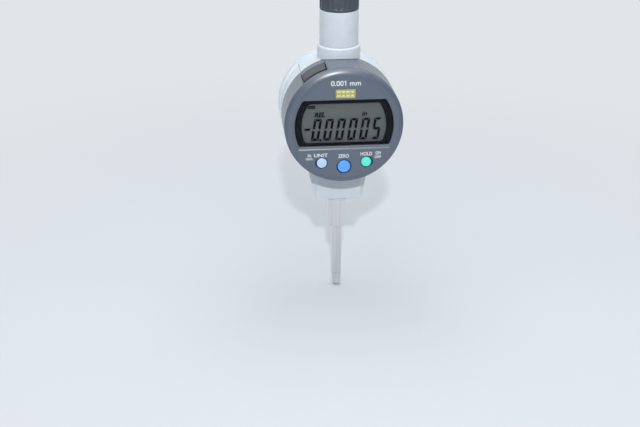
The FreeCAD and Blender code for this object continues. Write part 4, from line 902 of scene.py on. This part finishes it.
def make_collar_lip():
    """The pale lip that closes the gap between the collar's foot and the turning head."""
    outer = COLLAR_RADIUS - 0.02 * MM
    inner = outer - LIP_WALL
    reach = math.acos(-(shell_high.y + 0.3 * MM) / outer)
    steps = 48
    sections = []
    for step in range(steps + 1):
        angle = -reach + 2 * reach * step / steps
        section = []
        for radius, is_top in ((outer, True), (outer, False), (inner, False), (inner, True)):
            x, y = radius * math.sin(angle), -radius * math.cos(angle)
            if is_top:
                level = math.sqrt((head_radius + COLLAR_LIFT) ** 2 - x * x) + 0.4 * MM
            else:
                level = math.sqrt((head_radius + LIP_CLEARANCE) ** 2 - x * x)
            section.append((x, y, face_height + level))
        sections.append(section)
    finish_piece("collar_lip", loft(sections), "housing", "housing_paint")


def make_spring():
    """The return spring, a coil of round wire as long as the CAD spring."""
    low, high = box_of("return_spring")
    length = high.z - low.z
    radius = (high.x - low.x) / 2 - WIRE_RADIUS
    foot, rise = low.z + WIRE_RADIUS, length - 2 * WIRE_RADIUS
    per_coil, sides = 40, 10
    slant = math.atan2(rise / COILS, 2 * math.pi * radius)
    sections = []
    for step in range(COILS * per_coil + 1):
        angle = 2 * math.pi * step / per_coil
        outward = Vector((math.cos(angle), math.sin(angle), 0.0))
        onward = Vector((-math.sin(angle), math.cos(angle), 0.0))
        upward = Vector((0.0, 0.0, math.cos(slant))) - onward * math.sin(slant)
        middle = outward * radius + Vector((0.0, 0.0, foot + rise * step / (COILS * per_coil)))
        sections.append([middle + outward * across + upward * up
                         for across, up in circle(WIRE_RADIUS, steps=sides)])
    spring = finish_piece("return_coil", loft(sections), "housing", "spring_wire",
                          ("return_spring",), sharp=60.0)
    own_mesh(spring)


# The cap

def level_ring(bm, reach_at, height, steps):
    """Points about the stem's axis at one height; their radius may change with the angle."""
    ring = []
    for step in range(steps):
        angle = 2 * math.pi * step / steps
        reach = reach_at(angle)
        ring.append(bm.verts.new((reach * math.cos(angle), reach * math.sin(angle), height)))
    return ring


def make_cap():
    """The cap with hollow flutes that run out above a plain band."""
    radius = (cap_high.x - cap_low.x) / 2
    foot, top = cap_low.z, cap_high.z
    steps = FLUTES * 12
    levels = [(foot, 0.25 * MM, 0.0), (foot + 0.25 * MM, 0.0, 0.0), (foot + 1.0 * MM, 0.0, 0.0)]
    for step in range(7):
        share = step / 6
        levels.append((foot + (1.15 + 0.8 * share) * MM, 0.0, math.sin(share * math.pi / 2)))
    levels.append((top - CAP_ROUND - 0.4 * MM, 0.0, 1.0))
    for step in range(9):
        angle = math.radians(90 * step / 8)
        levels.append((top - CAP_ROUND * (1 - math.sin(angle)),
                       CAP_ROUND * (1 - math.cos(angle)), 1.0))
    bm = bmesh.new()
    outside = []
    for height, inset, depth in levels:
        def fluted(angle):
            wave = 0.5 + 0.5 * math.cos(angle * FLUTES)
            return radius - inset - FLUTE_DEPTH * depth * wave ** 0.75
        outside.append(level_ring(bm, fluted, height, steps))
    narrow = CAP_BORE - CAP_STEP
    ledge, ceiling = foot + 5.0 * MM, top - CAP_TOP_WALL
    inside = [level_ring(bm, lambda angle: reach, height, steps) for height, reach in
              ((foot, CAP_BORE), (ledge, CAP_BORE), (ledge, narrow), (ceiling, narrow))]
    for first, second in zip(outside, outside[1:]):
        join_rings(bm, first, second, steps)
    join_rings(bm, inside[0], outside[0], steps)
    for first, second in zip(inside, inside[1:]):
        join_rings(bm, second, first, steps)
    join_rings(bm, outside[-1], [bm.verts.new((0.0, 0.0, top))], steps)
    join_rings(bm, [bm.verts.new((0.0, 0.0, ceiling))], inside[-1], steps)
    finish_piece("fluted_cap", mesh_from(bm), "housing", "dark_plastic",
                 ("cap",), sharp=50.0)


# Finishes of the CAD nodes that stay

OWN_FINISH = {"neck_tube": "neck_paint_lit_tone", "battery_lid": "lid_plastic",
              "rear_shell": "shell_plastic"}


def dress_cad_nodes():
    """Every CAD node gets the finish of its slot in the record, or one of its own."""
    for name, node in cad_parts.items():
        for holder in node.material_slots:
            slot = holder.material.name.split(".")[0]
            holder.material = MATERIALS[OWN_FINISH.get(name, slot)]


# The studio: how dark its sides are in reflections, its brightness in front and behind and in
# soft light, the distances between which the floor fades into the backdrop, and half the
# floor's side
SIDE_SHADE = 0.45
ROOM_FRONT = 0.34
ROOM_BACK = 0.85
AMBIENT = 0.20
FADE_START = 0.10
FADE_END = 0.40
FLOOR_REACH = 6.0

# Soft boxes: name, degrees right of -Y, degrees up, distance, width, height, power, colour
LAMPS = [
    ("key", -5.5, 31.3, 1.4, 0.045, 0.045, 10.5, (1.0, 0.995, 0.985)),
    ("crown", -8.0, 55.0, 1.0, 1.1, 0.42, 2.9, (0.98, 0.99, 1.0)),
    ("top", -6.0, 104.0, 0.85, 1.3, 1.05, 9.0, (0.97, 0.985, 1.0)),
    ("right", 75.0, 35.0, 0.9, 0.4, 0.5, 0.5, (0.93, 0.96, 1.0)),
    ("left", -80.0, 40.0, 0.9, 0.4, 0.5, 0.5, (0.95, 0.98, 1.0)),
]


def side_shade(nodes, links, vector):
    """1 towards the front and the back, less towards both sides."""
    unit = nodes.new("ShaderNodeVectorMath")
    unit.operation = "NORMALIZE"
    links.new(vector, unit.inputs[0])
    across = nodes.new("ShaderNodeSeparateXYZ")
    links.new(unit.outputs["Vector"], across.inputs["Vector"])
    size = nodes.new("ShaderNodeMath")
    size.operation = "ABSOLUTE"
    links.new(across.outputs["X"], size.inputs[0])
    return map_range(nodes, links, size.outputs["Value"], 1.0, SIDE_SHADE, 0.55, 0.95,
                     smooth=True)


def make_floor():
    """A plain pale floor under the contact point, which fades into the backdrop."""
    material, nodes, links, shader = new_material("floor")
    cloud = noise(nodes, links, 0.5, 1.0)
    links.new(blend(nodes, links, cloud, srgb(195, 200, 205), srgb(200, 204, 209)),
              shader.inputs["Base Color"])
    shader.inputs["Roughness"].default_value = 0.8
    shader.inputs["Specular IOR Level"].default_value = 0.1
    place = nodes.new("ShaderNodeTexCoord").outputs["Object"]
    path = nodes.new("ShaderNodeLightPath")
    glow = nodes.new("ShaderNodeEmission")
    glow.inputs["Color"].default_value = BACKDROP
    strength = blend(nodes, links, path.outputs["Is Glossy Ray"], 1.0,
                     side_shade(nodes, links, place), "FLOAT")
    links.new(strength, glow.inputs["Strength"])
    distance = nodes.new("ShaderNodeVectorMath")
    distance.operation = "LENGTH"
    links.new(place, distance.inputs[0])
    fade = map_range(nodes, links, distance.outputs["Value"], 0.0, 1.0, FADE_START, FADE_END,
                     smooth=True)
    mixed = blend_shaders(nodes, links, fade, shader.outputs["BSDF"], glow.outputs["Emission"])
    links.new(mixed, nodes["Material Output"].inputs["Surface"])
    mesh = bpy.data.meshes.new("floor")
    level = tip_level - 0.02 * MM
    corners = [(x * FLOOR_REACH, y * FLOOR_REACH, level)
               for x, y in ((-1, -1), (1, -1), (1, 1), (-1, 1))]
    mesh.from_pydata(corners, [], [(0, 1, 2, 3)])
    mesh.materials.append(material)
    floor = bpy.data.objects.new("floor", mesh)
    bpy.context.scene.collection.objects.link(floor)


def area_light(name, place, width, height, power, colour):
    """A soft box aimed at the display head."""
    data = bpy.data.lights.new(name, "AREA")
    data.shape = "RECTANGLE"
    data.size = width
    data.size_y = height
    data.energy = power
    data.color = colour
    light = bpy.data.objects.new(name, data)
    light.location = place
    aim = Vector((0.0, -0.01, face_height)) - Vector(place)
    light.rotation_mode = "QUATERNION"
    light.rotation_quaternion = aim.to_track_quat("-Z", "Y")
    bpy.context.scene.collection.objects.link(light)


def around(turn, rise, distance):
    """A place at a distance from the head, turn degrees right of -Y and rise degrees up."""
    turn, rise = math.radians(turn), math.radians(rise)
    level = distance * math.cos(rise)
    return (level * math.sin(turn), -level * math.cos(turn),
            face_height + distance * math.sin(rise))


def background(nodes, colour):
    node = nodes.new("ShaderNodeBackground")
    node.inputs["Color"].default_value = colour
    return node


def make_light():
    """The lamps, and a world that differs for soft light, for reflections and for the camera."""
    for name, turn, rise, distance, *box in LAMPS:
        area_light(name, around(turn, rise, distance), *box)
    world = bpy.data.worlds.new("studio")
    world.use_nodes = True
    nodes, links = world.node_tree.nodes, world.node_tree.links
    ambient = nodes["Background"]
    ambient.inputs["Color"].default_value = srgb(236, 240, 246)
    ambient.inputs["Strength"].default_value = AMBIENT
    backdrop = background(nodes, BACKDROP)
    room = background(nodes, srgb(240, 243, 247))
    place = nodes.new("ShaderNodeTexCoord").outputs["Generated"]
    direction = nodes.new("ShaderNodeSeparateXYZ")
    links.new(place, direction.inputs["Vector"])
    depth = map_range(nodes, links, direction.outputs["Y"], ROOM_FRONT, ROOM_BACK, -0.9, 0.9)
    links.new(product(nodes, links, depth, side_shade(nodes, links, place)),
              room.inputs["Strength"])
    path = nodes.new("ShaderNodeLightPath")
    seen = blend_shaders(nodes, links, path.outputs["Is Glossy Ray"],
                         ambient.outputs["Background"], room.outputs["Background"])
    mixed = blend_shaders(nodes, links, path.outputs["Is Camera Ray"], seen,
                          backdrop.outputs["Background"])
    links.new(mixed, nodes["World Output"].inputs["Surface"])
    bpy.context.scene.world = world


def make_camera():
    """The photograph's camera."""
    data = bpy.data.cameras.new("camera")
    data.lens = CAMERA_LENS
    data.sensor_width = 36.0
    data.clip_start = 0.01
    data.clip_end = 50.0
    camera = bpy.data.objects.new("camera", data)
    camera.matrix_world = (
        Matrix.Translation(CAMERA_PLACE + head_centre)
        @ Matrix.Rotation(-CAMERA_TURN, 4, "Z")
        @ Matrix.Rotation(math.radians(90) - CAMERA_DOWN, 4, "X")
        @ Matrix.Rotation(CAMERA_ROLL, 4, "Z")
    )
    bpy.context.scene.collection.objects.link(camera)
    bpy.context.scene.camera = camera


dress_cad_nodes()
make_rim()
make_seal_and_seam_shade()
make_face()
make_window()
make_display()
make_prints()
make_scale_plate()
make_keys()
make_connector_cover()
make_collar_lip()
make_spring()
make_cap()
make_floor()
make_light()
make_camera()
bpy.context.scene.view_settings.view_transform = "Standard"
